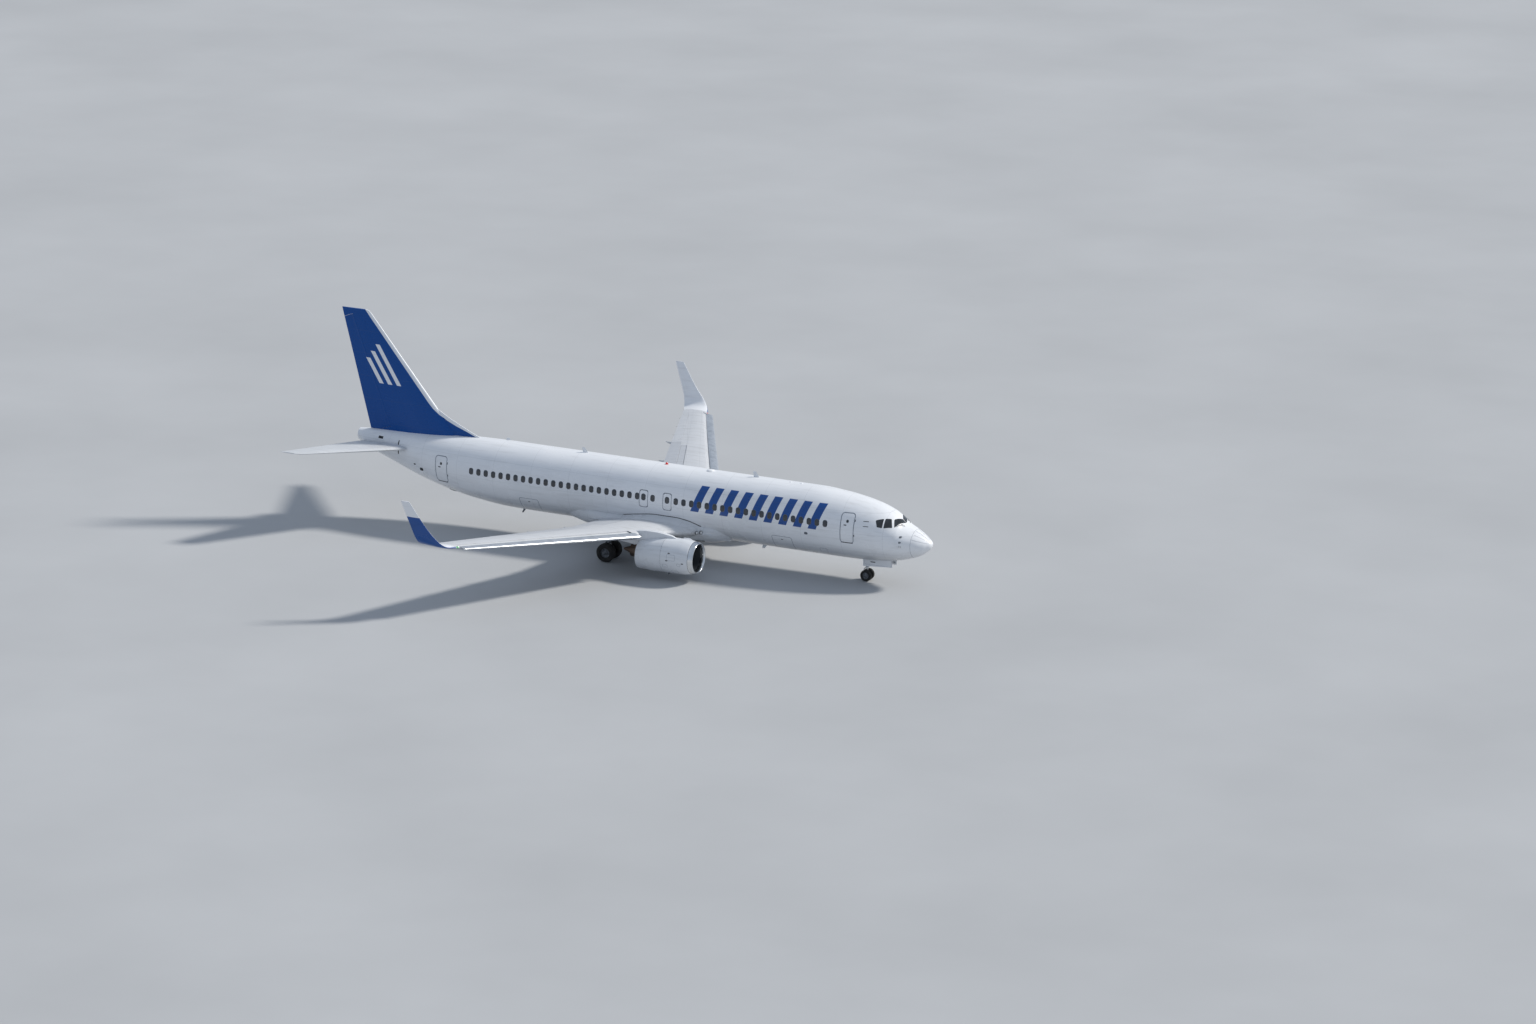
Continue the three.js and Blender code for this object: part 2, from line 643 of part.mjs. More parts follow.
function buildTail(name, side) {
  const ring = ([y, lead, trail, z, thickness]) => {
    const chord = trail - lead;
    const at = ([t, h]) => seat([X(lead + t * chord), side * y, z + h * chord]);
    return sectionPoints(thickness, 0, 0.003).map(at);
  };
  const whole = loft(tailSections.map(ring), true);
  const hingePoint = (y) => {
    const [, lead, trail, z] = rowAt(tailSections, y);
    return seat([X(lerp(lead, trail, elevator.hinge)), side * y, z]);
  };
  const line = [elevator.y0, elevator.y1].map(hingePoint);
  const turned = hinged(whole, line[0], line[1], elevator.noses, [-1, 0, 0], 1500, 20);
  joints[`elevator_${name}`] = { pos: line[0], to: line[1] };
  add(`elevator_${name}`, turned.moving, "white");
  const [, , , z] = rowAt(tailSections, 800);
  const pivot = seat([X(trimPivot.station), 0, z]);
  const pinTo = (r) => rod([pivot[0], side * 100, pivot[2]], [pivot[0], side * 1000, pivot[2]], r, r, 16);
  joints.stabiliser = { pos: pivot };
  const fixed = join(cut(whole, turned.cutter), turned.pins);
  add(`stabiliser_${name}`, largest(cut(fixed, tailRoom, pinTo(trimPivot.bore))), "white");
  return pinTo(trimPivot.pin);
}
// Room for the body between the halves of the stabiliser: straight sides, so that they can tilt
const tailGap = 25;
const tailRows = bodySections.filter(([station]) => station >= 32000);
const tailSide = (side) => tailRows.map(([station, , , half]) => [station, side * (half + tailGap)]);
const tailRoom = planPrism([...tailSide(1), [39500, 200], [39500, -200], ...tailSide(-1).reverse()]);

// Engines: distance aft of the lip and radius
const lipShape = {
  outer: [[0, 880], [40, 925], [300, 985]],
  inner: [[0, 880], [60, 828], [300, 800]],
};
const fanCowlShape = {
  outer: [[300, 985], [900, 1045], [2050, 1045]],
  inner: [[300, 800], [1300, 788], [1800, 868], [2050, 868]],
};
const sleeveShape = {
  outer: [[2050, 1045], [2750, 1005], [3300, 925], [3770, 870]],
  inner: [[2050, 868], [2750, 872], [3770, 854]],
};
const coreShape = [
  [1300, 0], [1300, 420], [1500, 590], [2700, 600], [4350, 372], [4350, 356], [4000, 350],
  [4000, 285], [4900, 40], [4900, 0],
];
const sleeveDroop = 150; // of its aft end
const engineSides = 22;
const fanFace = 1180;

function revolve(profile, side, segments = engineSides) {
  const lathe = new THREE.LatheGeometry(profile.map(([h, r]) => new THREE.Vector2(r, h)), segments);
  return solid(lathe.rotateZ(Math.PI / 2).translate(X(lipStation), side * engineY, engineZ));
}
// A ring between an outer and an inner line; grow swells it on every face.
function engineRing({ outer, inner }, side, grow = 0) {
  const pointed = outer[0][1] === inner[0][1];
  const shift = (line, way) =>
    line.map(([h, r], i) => [h + (i === 0 ? -grow : i === line.length - 1 ? grow : 0), r + way * grow]);
  const inside = shift(inner, -1).reverse();
  const profile = [...shift(outer, 1), ...(pointed ? inside.slice(0, -1) : inside)];
  return revolve([...profile, profile[0]], side);
}
// The sleeve's centre line bends down towards its aft end.
function droop(manifold) {
  const geometry = geometryOf(manifold);
  const p = geometry.attributes.position;
  const [front, back] = [sleeveShape.outer[0][0], sleeveShape.outer.at(-1)[0]];
  for (let i = 0; i < p.count; i++) {
    const share = (X(lipStation) - p.getX(i) - front) / (back - front);
    p.setZ(i, p.getZ(i) - sleeveDroop * Math.max(0, share));
  }
  return solid(geometry);
}
// The lower half of an intake is flattened, most at the lip.
function flatten(manifold, side) {
  const geometry = geometryOf(manifold);
  const p = geometry.attributes.position;
  for (let i = 0; i < p.count; i++) {
    const aft = X(lipStation) - p.getX(i);
    const share = 0.03 * Math.max(0, 1 - aft / 1150);
    const dz = p.getZ(i) - engineZ;
    if (dz < 0) p.setZ(i, engineZ + dz * (1 - share));
  }
  return solid(geometry);
}

const fan = { blades: 24, hub: 265, tip: 772, chord: 210 };
function fanRotor(side) {
  // distance aft of the fan's face and radius: spinner, hub, thrust collar, shaft
  const line = [
    [-420, 0], [-395, 35], [-220, 180], [-60, fan.hub], [110, fan.hub], [110, 140],
    [120 - gap, 140], [120 - gap, 100], [220, 100], [220, 0],
  ];
  const hub = revolve(line.map(([h, r]) => [fanFace + h, r]), side, 12);
  const blade = (k) => {
    const turn = (2 * Math.PI * k) / fan.blades;
    const ring = ([r, stagger, thick]) => {
      const s = (stagger * Math.PI) / 180;
      return [[-1, -1], [1, -1], [1, 1], [-1, 1]].map(([u, v]) => {
        const along = (u * fan.chord) / 2;
        const x = along * Math.cos(s) - (v * thick * Math.sin(s)) / 2;
        const round = along * Math.sin(s) + (v * thick * Math.cos(s)) / 2;
        const a = turn + round / r;
        const [y, z] = [side * engineY + r * Math.cos(a), engineZ + r * Math.sin(a)];
        return [X(lipStation + fanFace + 30) + x * 0.7, y, z];
      });
    };
    return loft([[fan.hub - 45, 30, 26], [fan.tip, 60, 12]].map(ring), true);
  };
  return join(hub, Array.from({ length: fan.blades }, (_, k) => blade(k)));
}

// Struts from the core to the fan cowl, and the socket for the rotor's shaft.
function engineCore(side) {
  const struts = Array.from({ length: 6 }, (_, k) => {
    const a = (2 * Math.PI * (k + 0.5)) / 6;
    const reach = new THREE.BoxGeometry(160, 24, 300).translate(0, 0, 690 - 150 + 8);
    reach.rotateX(a).translate(X(lipStation + 1750), side * engineY, engineZ);
    return solid(reach);
  });
  const [x, y, z] = [X(lipStation + 1290), side * engineY, engineZ];
  const socket = rod([x + 50, y, z], [x - 140, y, z], 101.5, 101.5, 24);
  const core = revolve(coreShape, side);
  return cut(join(core, struts), socket, engineRing(fanCowlShape, side, gap));
}

const pylonHalf = 165;
// Side outline of a pylon: station, height
const pylonOutline = [
  [13950, 2440], [14500, 2650], [15300, 2780], [16200, 2790], [17150, 2660], [18600, 2380], [19300, 2240],
  [18300, 2020], [17300, 1930], [16900, 1860], [16000, 1860], [14900, 1950], [14850, 2300], [14300, 2440],
];
function pylon(side) {
  const y = side * engineY;
  const slab = sidePrism(pylonOutline, y - pylonHalf, y + pylonHalf);
  // the front is shaved to a thin nose in plan
  const shave = [1, -1].map((way) => {
    const corners = [[13800, 30], [15300, pylonHalf], [15300, 400], [13800, 400]];
    return planPrism(corners.map(([s, out]) => [s, y + way * out]));
  });
  const engineRoom = engineRing(fanCowlShape, side, gap);
  const coreRoom = coreShape.filter(([h, r]) => r === 0 || r > 357 || h > 4400);
  const core = revolve(coreRoom.map(([h, r]) => [h, r ? r + gap : 0]), side);
  return largest(cut(slab, shave, engineRoom, core, wholeWing(side, gap)));
}

function buildEngine(name, side) {
  add(`inlet_lip_${name}`, flatten(engineRing(trimmed(lipShape, 0, -gap), side), side), "metal");
  add(`fan_cowl_${name}`, flatten(engineRing(fanCowlShape, side), side), "white");
  const sleeve = droop(engineRing(trimmed(sleeveShape, gap, 0), side));
  add(`reverser_sleeve_${name}`, cut(sleeve, sleeveSlot(side)), "white");
  joints[`reverser_sleeve_${name}`] = { pos: [X(lipStation + 2600), side * engineY, engineZ] };
  add(`engine_core_${name}`, engineCore(side), "dark");
  add(`fan_${name}`, fanRotor(side), "dark");
  add(`pylon_${name}`, pylon(side), "white");
  joints[`fan_${name}`] = { pos: [X(lipStation + fanFace), side * engineY, engineZ] };
}
// Moves the first and last points of a ring's lines along the axis.
function trimmed(shape, first, last) {
  const move = (line) =>
    line.map(([h, r], i) => [h + (i === 0 ? first : i === line.length - 1 ? last : 0), r]);
  return { outer: move(shape.outer), inner: move(shape.inner) };
}
// The sleeve is open at its top, so that it slides along both sides of the pylon.
function sleeveSlot(side) {
  const half = pylonHalf + clear;
  const y = side * engineY;
  return block(lipStation + 1900, lipStation + 3900, y - half, y + half, engineZ + 600, 3000);
}

// Wheels: a tyre and a pair of rims on a turning axle
const wheelSides = 18;
function tyre(at, radius, width, rim) {
  const n = wheelSides;
  const r = radius / Math.cos(Math.PI / n); // flats, not corners, touch the ground
  const w = width / 2;
  const profile = [
    [rim, -w * 0.72], [rim + 0.45 * (r - rim), -w], [r * 0.982, -w * 0.75], [r, -w * 0.3],
    [r, w * 0.3], [r * 0.982, w * 0.75], [rim + 0.45 * (r - rim), w], [rim, w * 0.72],
  ];
  const closed = [...profile, profile[0]].map(([a, b]) => new THREE.Vector2(a, b));
  return solid(new THREE.LatheGeometry(closed, n, Math.PI / n).translate(...at));
}
function wheelPair(at, spacing, width, rim, axle, eye) {
  const n = wheelSides;
  const c = spacing / 2;
  const w = width * 0.3;
  const r = rim - gap;
  const half = [
    [axle, eye + gap], [axle + 28, eye + gap], [axle + 28, c - w - 20], [r, c - w - 20],
    [r, c + w + 10], [rim * 0.8, c + w * 0.5], [rim * 0.35, c + w * 0.8], [0, c + w * 0.8],
  ];
  const profile = [...[...half].reverse().map(([a, b]) => [a, -b]), ...half];
  const points = profile.map(([a, b]) => new THREE.Vector2(a, b));
  return solid(new THREE.LatheGeometry(points, n, Math.PI / n).translate(...at));
}

const mainLeg = { radius: 125, piston: 88, axle: 70, eye: 115, top: 1960, split: 1010 };
const mainRim = 290;
function mainGear(name, side) {
  const x = X(mainGearStation);
  const y = (side * mainTrack) / 2;
  const z = mainTyreRadius;
  const eyeBore = mainLeg.axle + 5;
  const eyeRoom = rod([x, y - 130, z], [x, y + 130, z], eyeBore, eyeBore, wheelSides);
  const axleEye = cut(rod([x, y - mainLeg.eye, z], [x, y + mainLeg.eye, z], 135), eyeRoom);
  const strut = join(
    rod([x, y, mainLeg.split], [x, y, mainLeg.top + 200], mainLeg.radius),
    rod([x, y, mainLeg.split - 60], [x, y, mainLeg.split + 40], mainLeg.radius + 25),
    cut(rod([x, y, z], [x, y, mainLeg.split], mainLeg.piston), eyeRoom),
    axleEye,
    // side brace up to the body, drag brace forward, torque links behind
    rod([x, y, 1150], [x - 60, side * 1250, 1560], 62, 62, 8),
    rod([x, y, 1250], [x + 620, y, 1990], 50, 50, 8),
    rod([x - 60, y, 1060], [x - 300, y, 800], 34, 34, 6),
    rod([x - 300, y, 800], [x - 60, y, 610], 34, 34, 6),
    // door that rides on the leg's outer side
    legDoor(x, y, side),
  );
  const above = block(15000, 25000, side * 1000, side * 5000, 2600, 3200);
  const trimTools = [wholeWing(side, gap), body(11000, 25000, gap), fairing(gap), above];
  add(`main_gear_${name}`, largest(cut(strut, trimTools)), "gear");
  const wheels = wheelPair([x, y, z], mainWheelSpacing, mainTyreWidth, mainRim, mainLeg.axle, mainLeg.eye);
  add(`main_wheels_${name}`, wheels, "gear");
  for (const [which, way] of [["inner", -1], ["outer", 1]]) {
    const at = [x, y + (side * way * mainWheelSpacing) / 2, z];
    add(`main_tyre_${which}_${name}`, tyre(at, mainTyreRadius, mainTyreWidth, mainRim), "tyre");
  }
  joints[`main_wheels_${name}`] = { pos: [x, y, z] };
}
// A flat door panel carried by the leg on two brackets.
function legDoor(x, y, side) {
  const out = y + side * 300;
  const panel = solid(new THREE.BoxGeometry(560, 24, 620).translate(x - 40, out, 1560));
  const arms = [1400, 1720].map((z) => rod([x, y, z], [x, out, z], 26, 26, 6));
  return join(panel, arms);
}

const noseLeg = { radius: 82, piston: 56, axle: 42, eye: 62, split: 900, top: 2100 };
const noseRim = 190;
const towLug = { reach: 130, half: 45 };
function lugAt(x, z) {
  const lug = new THREE.BoxGeometry(towLug.reach, 2 * towLug.half, 2 * towLug.half);
  return solid(lug.translate(x + towLug.reach / 2, 0, z));
}
function noseGear() {
  const x = X(noseGearStation);
  const z = noseTyreRadius;
  const brace = rod([x, 0, 1300], [x + 850, 0, 2150], 42, 42, 10);
  const trunnion = rod([x, -bay.half + gap, 2050], [x, bay.half - gap, 2050], 55, 55, 12);
  const ceiling = block(1000, 6000, -400, 400, bay.roof - gap, 4000);
  add("nose_gear_strut", cut(join(
    rod([x, 0, noseLeg.split + gap], [x, 0, noseLeg.top], noseLeg.radius),
    rod([x, 0, 1080], [x, 0, 1180], noseLeg.radius + 40),
    brace, trunnion,
  ), ceiling, rod([x, 0, 880], [x, 0, 960], 41.5, 41.5, 16)), "gear");
  const eyeRoom = rod([x, -200, z], [x, 200, z], noseLeg.axle + 3, noseLeg.axle + 3, wheelSides);
  add("nose_gear_leg", cut(join(
    rod([x, 0, z], [x, 0, noseLeg.split - 60], noseLeg.piston),
    rod([x, 0, noseLeg.split - 90], [x, 0, noseLeg.split], noseLeg.radius + 15),
    rod([x, 0, noseLeg.split], [x, 0, 955], 40, 40, 16),
    rod([x, -noseLeg.eye, z], [x, noseLeg.eye, z], 85),
    lugAt(x, z),
    rod([x - 40, 0, 850], [x - 230, 0, 650], 24, 24, 6),
    rod([x - 230, 0, 650], [x - 40, 0, 420], 24, 24, 6),
  ), eyeRoom), "gear");
  const wheels = wheelPair([x, 0, z], noseWheelSpacing, noseTyreWidth, noseRim, noseLeg.axle, noseLeg.eye);
  add("nose_wheels", wheels, "gear");
  for (const [name, side] of sides) {
    const at = [x, (side * noseWheelSpacing) / 2, z];
    add(`nose_tyre_${name}`, tyre(at, noseTyreRadius, noseTyreWidth, noseRim), "tyre");
  }
  joints.nose_wheels = { pos: [x, 0, z] };
  joints.nose_steering = { pos: [x, 0, z] };
}
function noseDoors() {
  for (const [name, side] of sides) {
    const y = side * (bay.half + 14);
    const outline = [[2400, 1080], [2400, 1900], [4250, 1900], [4250, 960]];
    const panel = sidePrism(outline, y - 12, y + 12);
    add(`nose_gear_door_${name}`, cut(panel, body(1000, 6000, gap)), "white");
  }
}

buildBody();
const trimPins = [];
for (const [name, side] of sides) {
  buildWing(name, side);
  trimPins.push(buildTail(name, side));
  buildEngine(name, side);
  mainGear(name, side);
}
buildFin();
noseGear();
noseDoors();
// the stabiliser's pivot pins are fixed in the tail
const hullMesh = meshes.find((m) => m.name === "fuselage");
hullMesh.geometry = geometryOf(join(solid(hullMesh.geometry), trimPins));

const airliner = new THREE.Group();
airliner.name = "airliner";
airliner.add(...meshes);
airliner.userData.joints = joints;
export default airliner;
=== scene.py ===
from math import asin, atan2, ceil, copysign, cos, hypot, pi, radians, sin, sqrt

import bpy
from mathutils import Matrix, Vector


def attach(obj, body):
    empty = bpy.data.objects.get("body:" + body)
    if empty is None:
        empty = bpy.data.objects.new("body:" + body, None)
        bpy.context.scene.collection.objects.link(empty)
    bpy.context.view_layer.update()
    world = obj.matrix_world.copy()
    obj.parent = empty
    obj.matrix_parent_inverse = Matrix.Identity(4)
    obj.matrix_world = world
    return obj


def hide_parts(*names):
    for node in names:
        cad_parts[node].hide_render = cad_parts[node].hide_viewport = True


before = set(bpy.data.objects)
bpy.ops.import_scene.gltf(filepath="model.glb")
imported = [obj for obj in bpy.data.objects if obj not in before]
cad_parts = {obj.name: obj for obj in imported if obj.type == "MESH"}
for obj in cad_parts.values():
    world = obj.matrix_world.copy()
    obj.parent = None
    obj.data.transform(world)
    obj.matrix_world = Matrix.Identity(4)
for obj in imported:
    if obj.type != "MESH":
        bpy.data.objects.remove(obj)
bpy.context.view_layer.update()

# Metres. Stations run aft from the nose tip; heights are given before the body's nose-down lean.
stance = {"length": 39.47, "pivotStation": 19.6, "lean": 0.0125}
sides = [("left", 1), ("right", -1)]


def xAt(station):
    return stance["length"] / 2 - station


def leanAt(x):
    return -stance["lean"] * (x - xAt(stance["pivotStation"]))


def seated(x, y, z):
    return Vector((x, y, z + leanAt(x)))


def mix(a, b, t):
    return a + (b - a) * t


def held(share):
    return min(1, max(0, share))


# Straight and smooth reading of tables whose first column is the key

def rowAfter(table, key):
    i = 1
    while i < len(table) - 1 and table[i][0] < key:
        i += 1
    return i


def rowAt(table, key):
    i = rowAfter(table, key)
    a, b = table[i - 1], table[i]
    t = (key - a[0]) / (b[0] - a[0])
    return [mix(p, q, t) for p, q in zip(a, b)]


slopeStore = {}


def slopesOf(table):
    # slopes that never overshoot a row
    if id(table) not in slopeStore:
        columns = []
        for k in range(1, len(table[0])):
            steps = [(b[k] - a[k]) / (b[0] - a[0]) for a, b in zip(table, table[1:])]
            middle = [0 if p * q <= 0 else 2 * p * q / (p + q) for p, q in zip(steps, steps[1:])]
            columns.append([steps[0], *middle, steps[-1]])
        slopeStore[id(table)] = columns
    return slopeStore[id(table)]


def smoothAt(table, key):
    i = rowAfter(table, key)
    a, b = table[i - 1], table[i]
    span = b[0] - a[0]
    t = held((key - a[0]) / span)
    read = [key]
    for k, slopes in enumerate(slopesOf(table), 1):
        h1, h2 = 1 - 3 * t * t + 2 * t ** 3, t - 2 * t * t + t ** 3
        h3, h4 = 3 * t * t - 2 * t ** 3, t ** 3 - t * t
        read.append(h1 * a[k] + h2 * span * slopes[i - 1] + h3 * b[k] + h4 * span * slopes[i])
    return read


# Meshes

def makeMesh(name, points, faces, crease=35, closed=True):
    mesh = bpy.data.meshes.new(name)
    mesh.from_pydata([tuple(p) for p in points], [], faces)
    mesh.update()
    if closed:
        faceOutwards(mesh)
    shade(mesh, crease)
    piece = bpy.data.objects.new(name, mesh)
    bpy.context.scene.collection.objects.link(piece)
    return piece


def faceOutwards(mesh):
    volume = 0
    for polygon in mesh.polygons:
        corners = [mesh.vertices[i].co for i in polygon.vertices]
        for b, c in zip(corners[1:], corners[2:]):
            volume += corners[0].dot(b.cross(c))
    if volume < 0:
        mesh.flip_normals()


def stitched(rings, n, around=False):
    # faces between rings of n points, and back from the last ring to the first where they go around
    return [(r * n + i, r * n + (i + 1) % n, (r + 1) % rings * n + (i + 1) % n, (r + 1) % rings * n + i)
            for r in range(rings if around else rings - 1) for i in range(n)]


def loft(name, rings, crease=35):
    # a skin over rings, capped at both ends
    n, count = len(rings[0]), len(rings)
    points = [p for ring in rings for p in ring]
    faces = stitched(count, n) + [tuple(reversed(range(n))), tuple(range((count - 1) * n, count * n))]
    return makeMesh(name, points, faces, crease)


def roundLoft(name, rings, crease=35):
    # a skin over rings that close up on the first one
    points = [p for ring in rings for p in ring]
    return makeMesh(name, points, stitched(len(rings), len(rings[0]), True), crease)


leastRadius = 0.0005


def turned(name, profile, place, segments=64, crease=35, closed=True):
    # profile rows are (along, radius); place(along, radius, angle) gives the point
    rings = [[place(h, max(r, leastRadius), 2 * pi * i / segments) for i in range(segments)]
             for h, r in profile]
    return (roundLoft if closed else loft)(name, rings, crease)


def upright(x, y):
    # the place of what is turned about an upright line
    return lambda h, r, a: Vector((x + r * cos(a), y + r * sin(a), h))


def tube(name, path, radius, sides=10, taper=1.0):
    # a rod or pipe along points, capped at both ends
    rings = []
    path = [Vector(p) for p in path]
    side = None
    for i, p in enumerate(path):
        ahead = (path[min(i + 1, len(path) - 1)] - path[max(i - 1, 0)]).normalized()
        if side is None:
            side = ahead.orthogonal().normalized()
        side = (side - ahead * side.dot(ahead)).normalized()
        up = ahead.cross(side)
        r = radius * mix(1, taper, i / (len(path) - 1))
        rings.append([p + r * (side * cos(a) + up * sin(a))
                      for a in [2 * pi * k / sides for k in range(sides)]])
    return loft(name, rings, 50)


def gather(name, pieces, crease=35):
    # joins several pieces into one object
    points, faces = [], []
    for piece in pieces:
        start = len(points)
        points += [v.co.copy() for v in piece.data.vertices]
        faces += [tuple(start + i for i in polygon.vertices) for polygon in piece.data.polygons]
        bpy.data.objects.remove(piece)
    return makeMesh(name, points, faces, crease, closed=False)


def shade(mesh, crease):
    mesh.shade_smooth()
    mesh.set_sharp_from_angle(angle=radians(crease))


def carve(target, cutters, crease=None):
    for cutter in cutters:
        step = target.modifiers.new("carve", "BOOLEAN")
        step.operation = "DIFFERENCE"
        step.solver = "MANIFOLD"
        step.object = cutter
    bpy.context.view_layer.update()
    carved = target.evaluated_get(bpy.context.evaluated_depsgraph_get())
    mesh = bpy.data.meshes.new_from_object(carved)
    target.modifiers.clear()
    target.data = mesh
    for cutter in cutters:
        bpy.data.objects.remove(cutter)
    if crease:
        shade(mesh, crease)
    return target


def settle(piece, finish, *nodes, body="airframe"):
    # gives a piece the material of its finish, its body and the solids that it stands for; the finish's slot
    # is not used
    material, slot = finish
    piece.data.materials.clear()
    piece.data.materials.append(material)
    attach(piece, body)
    if nodes:
        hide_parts(*nodes)
    return piece


# Materials

def addNode(tree, kind, fields=None, **inputs):
    made = tree.nodes.new(kind)
    for key, value in (fields or {}).items():
        setattr(made, key, value)
    for key, value in inputs.items():
        numbered = key[0] == "i" and key[1:].isdigit()
        feed(tree, made.inputs[int(key[1:]) if numbered else key], value)
    return made


def feed(tree, socket, value):
    if isinstance(value, bpy.types.NodeSocket):
        tree.links.new(value, socket)
    else:
        socket.default_value = value


def calc(tree, operation, *values, clamp=False):
    made = addNode(tree, "ShaderNodeMath", {"operation": operation, "use_clamp": clamp})
    for socket, value in zip(made.inputs, values):
        feed(tree, socket, value)
    return made.outputs[0]


def plus(tree, a, b):
    return calc(tree, "ADD", a, b)


def minus(tree, a, b):
    return calc(tree, "SUBTRACT", a, b)


def times(tree, a, b):
    return calc(tree, "MULTIPLY", a, b)


def reachOf(tree, a, b):
    # how far out two offsets at right angles lie
    return calc(tree, "SQRT", plus(tree, times(tree, a, a), times(tree, b, b)))


def blendColour(tree, share, a, b, way="MIX"):
    made = addNode(tree, "ShaderNodeMix", {"data_type": "RGBA", "blend_type": way}, i0=share)
    feed(tree, made.inputs[6], a)
    feed(tree, made.inputs[7], b)
    return made.outputs[2]


def ramp(tree, value, low, high, start=0.0, end=1.0):
    made = addNode(tree, "ShaderNodeMapRange", {"clamp": True}, i0=value, i1=low, i2=high, i3=start, i4=end)
    return made.outputs[0]


def grain(tree, vector, scale, detail=3.0, roughness=0.55):
    made = addNode(tree, "ShaderNodeTexNoise", None, Vector=vector, Scale=scale, Detail=detail,
                   Roughness=roughness)
    return made.outputs["Fac"]


def stretch(tree, vector, x, y, z):
    made = addNode(tree, "ShaderNodeMapping", None, Vector=vector, Scale=(x, y, z))
    return made.outputs[0]


def lines(tree, value, period, width):
    # 1 on thin lines at every period of the value, 0 between them
    return ramp(tree, calc(tree, "PINGPONG", value, period / 2), 0.0, width, 1.0, 0.0)


def rgb(hexCode, alpha=1.0):
    parts = [int(hexCode[i:i + 2], 16) / 255 for i in (0, 2, 4)]
    return (*[c / 12.92 if c <= 0.04045 else ((c + 0.055) / 1.055) ** 2.4 for c in parts], alpha)


class Sheet:
    # one surface's nodes, with the coordinates that its patterns read
    def __init__(self, name):
        self.material = bpy.data.materials.new(name)
        self.material.use_nodes = True
        self.tree = self.material.node_tree
        self.shader = self.tree.nodes["Principled BSDF"]
        self.space = addNode(self.tree, "ShaderNodeTexCoord").outputs["Object"]
        split = addNode(self.tree, "ShaderNodeSeparateXYZ", None, i0=self.space)
        self.x, self.y, self.z = split.outputs
        self.station = minus(self.tree, stance["length"] / 2, self.x)
        drop = times(self.tree, minus(self.tree, self.x, xAt(stance["pivotStation"])), stance["lean"])
        self.height = plus(self.tree, self.z, drop)
        self.away = calc(self.tree, "ABSOLUTE", self.y)

    def give(self, looks):
        # sets or links the shader's sockets by name
        for name, value in looks.items():
            feed(self.tree, self.shader.inputs[name], value)

    def raised(self, height, strength, distance):
        # the last step of a finish: its fine relief
        bump = addNode(self.tree, "ShaderNodeBump", None, Strength=strength, Distance=distance,
                       Height=height)
        self.give({"Normal": bump.outputs[0]})
        return self.material


def tint(shade, base):
    # what a base colour is multiplied by to give a shade
    return (*[min(1, s / max(b, 0.001)) for s, b in zip(shade[:3], base[:3])], 1)


def paintwork(name, look, colour=None, seams=()):
    # gloss paint: cloudy colour, streaks of grime along the airflow, seams, fine surface waves
    sheet = Sheet(name)
    tree = sheet.tree
    cloud = grain(tree, sheet.space, look["cloud"], 4.0)
    base = colour(sheet) if colour else look["base"]
    tone = blendColour(tree, ramp(tree, cloud, 0.35, 0.75, 0.0, look["shadeShare"]), base,
                       tint(look["shade"], look["base"]), "MULTIPLY")
    streaks = grain(tree, stretch(tree, sheet.space, 0.35, 3.2, 3.2), look["streakScale"], 5.0, 0.6)
    dirt = ramp(tree, streaks, 0.5, 0.82, 0.0, look["grimeShare"])
    tone = blendColour(tree, dirt, tone, tint(look["grime"], look["base"]), "MULTIPLY")
    seam = None
    for value, period, width in (pattern(sheet) for pattern in seams):
        line = lines(tree, value, period, width)
        seam = line if seam is None else calc(tree, "MAXIMUM", seam, line)
    if seam is not None:
        tone = blendColour(tree, times(tree, seam, look["seamShare"]), tone, look["seam"])
    rough = look["rough"]
    gloss = plus(tree, ramp(tree, cloud, 0.3, 0.8, rough - 0.06, rough + 0.08), times(tree, dirt, 0.5))
    sheet.give({"Base Color": tone, "Roughness": gloss, "Metallic": 0.0, "Coat Weight": look["coat"],
                "Coat Roughness": 0.12, "Specular IOR Level": look["gloss"]})
    height = times(tree, grain(tree, sheet.space, 45.0, 3.0), 0.25)
    return sheet.raised(height if seam is None else minus(tree, height, seam), 0.25, 0.004)


def seamsOn(reading, period, width=0.012):
    # panel lines at every period of a sheet's reading
    return lambda sheet: (getattr(sheet, reading), period, width)


def sweptSeams(period, slope, width=0.012):
    # lines that lie along a swept edge
    return lambda sheet: (plus(sheet.tree, sheet.x, times(sheet.tree, sheet.away, slope)), period, width)


# Places that both shapes and colours need
wells = {"station": 19.6, "y": 0.8, "radius": 0.6, "low": 0.9, "top": 1.95}
bay = {"front": 2.3, "back": 4.4, "half": 0.33, "low": 0.9, "roof": 2.25}
recess = {"front": 15.9, "back": 18.2, "waist": 3.62, "half": 1.88, "share": 0.985}
engine = {"y": 4.83, "z": 1.48, "lip": 12.75, "segments": 96, "droop": 0.15, "droopFrom": 2.05,
          "droopOver": 1.72, "flat": 0.03, "flatEnd": 1.15}

livery = {
    # the belly colour is a darker grey: painted shade on the underside
    "white": rgb("eef0f3"), "whiteShade": rgb("dfe3e8"), "belly": rgb("b4b8bd"), "grime": rgb("8d8a84"),
    "seam": rgb("6c7178"), "blue": rgb("024a94"), "blueShade": rgb("013b78"), "grey": rgb("d2d4d7"),
    "greyShade": rgb("bcc0c5"), "outline": rgb("7f8793"), "fairing": rgb("d3d6da"), "nacelle": rgb("dfe2e6"),
    # the liner colour is dark grey: partly the intake liner's own, partly painted shade inside the intake
    # and the exit openings
    "liner": rgb("3b3f44"), "well": rgb("565b58"),
}
stripes = {"from": 6.6, "to": 15.1, "low": 3.42, "pitch": 0.95, "width": 0.52, "tall": 1.5, "slant": 0.36}
# height about which the hull turns to the darker grey of the painted belly shade
bellyShadeEdge = {"height": 2.15, "soft": 0.5}
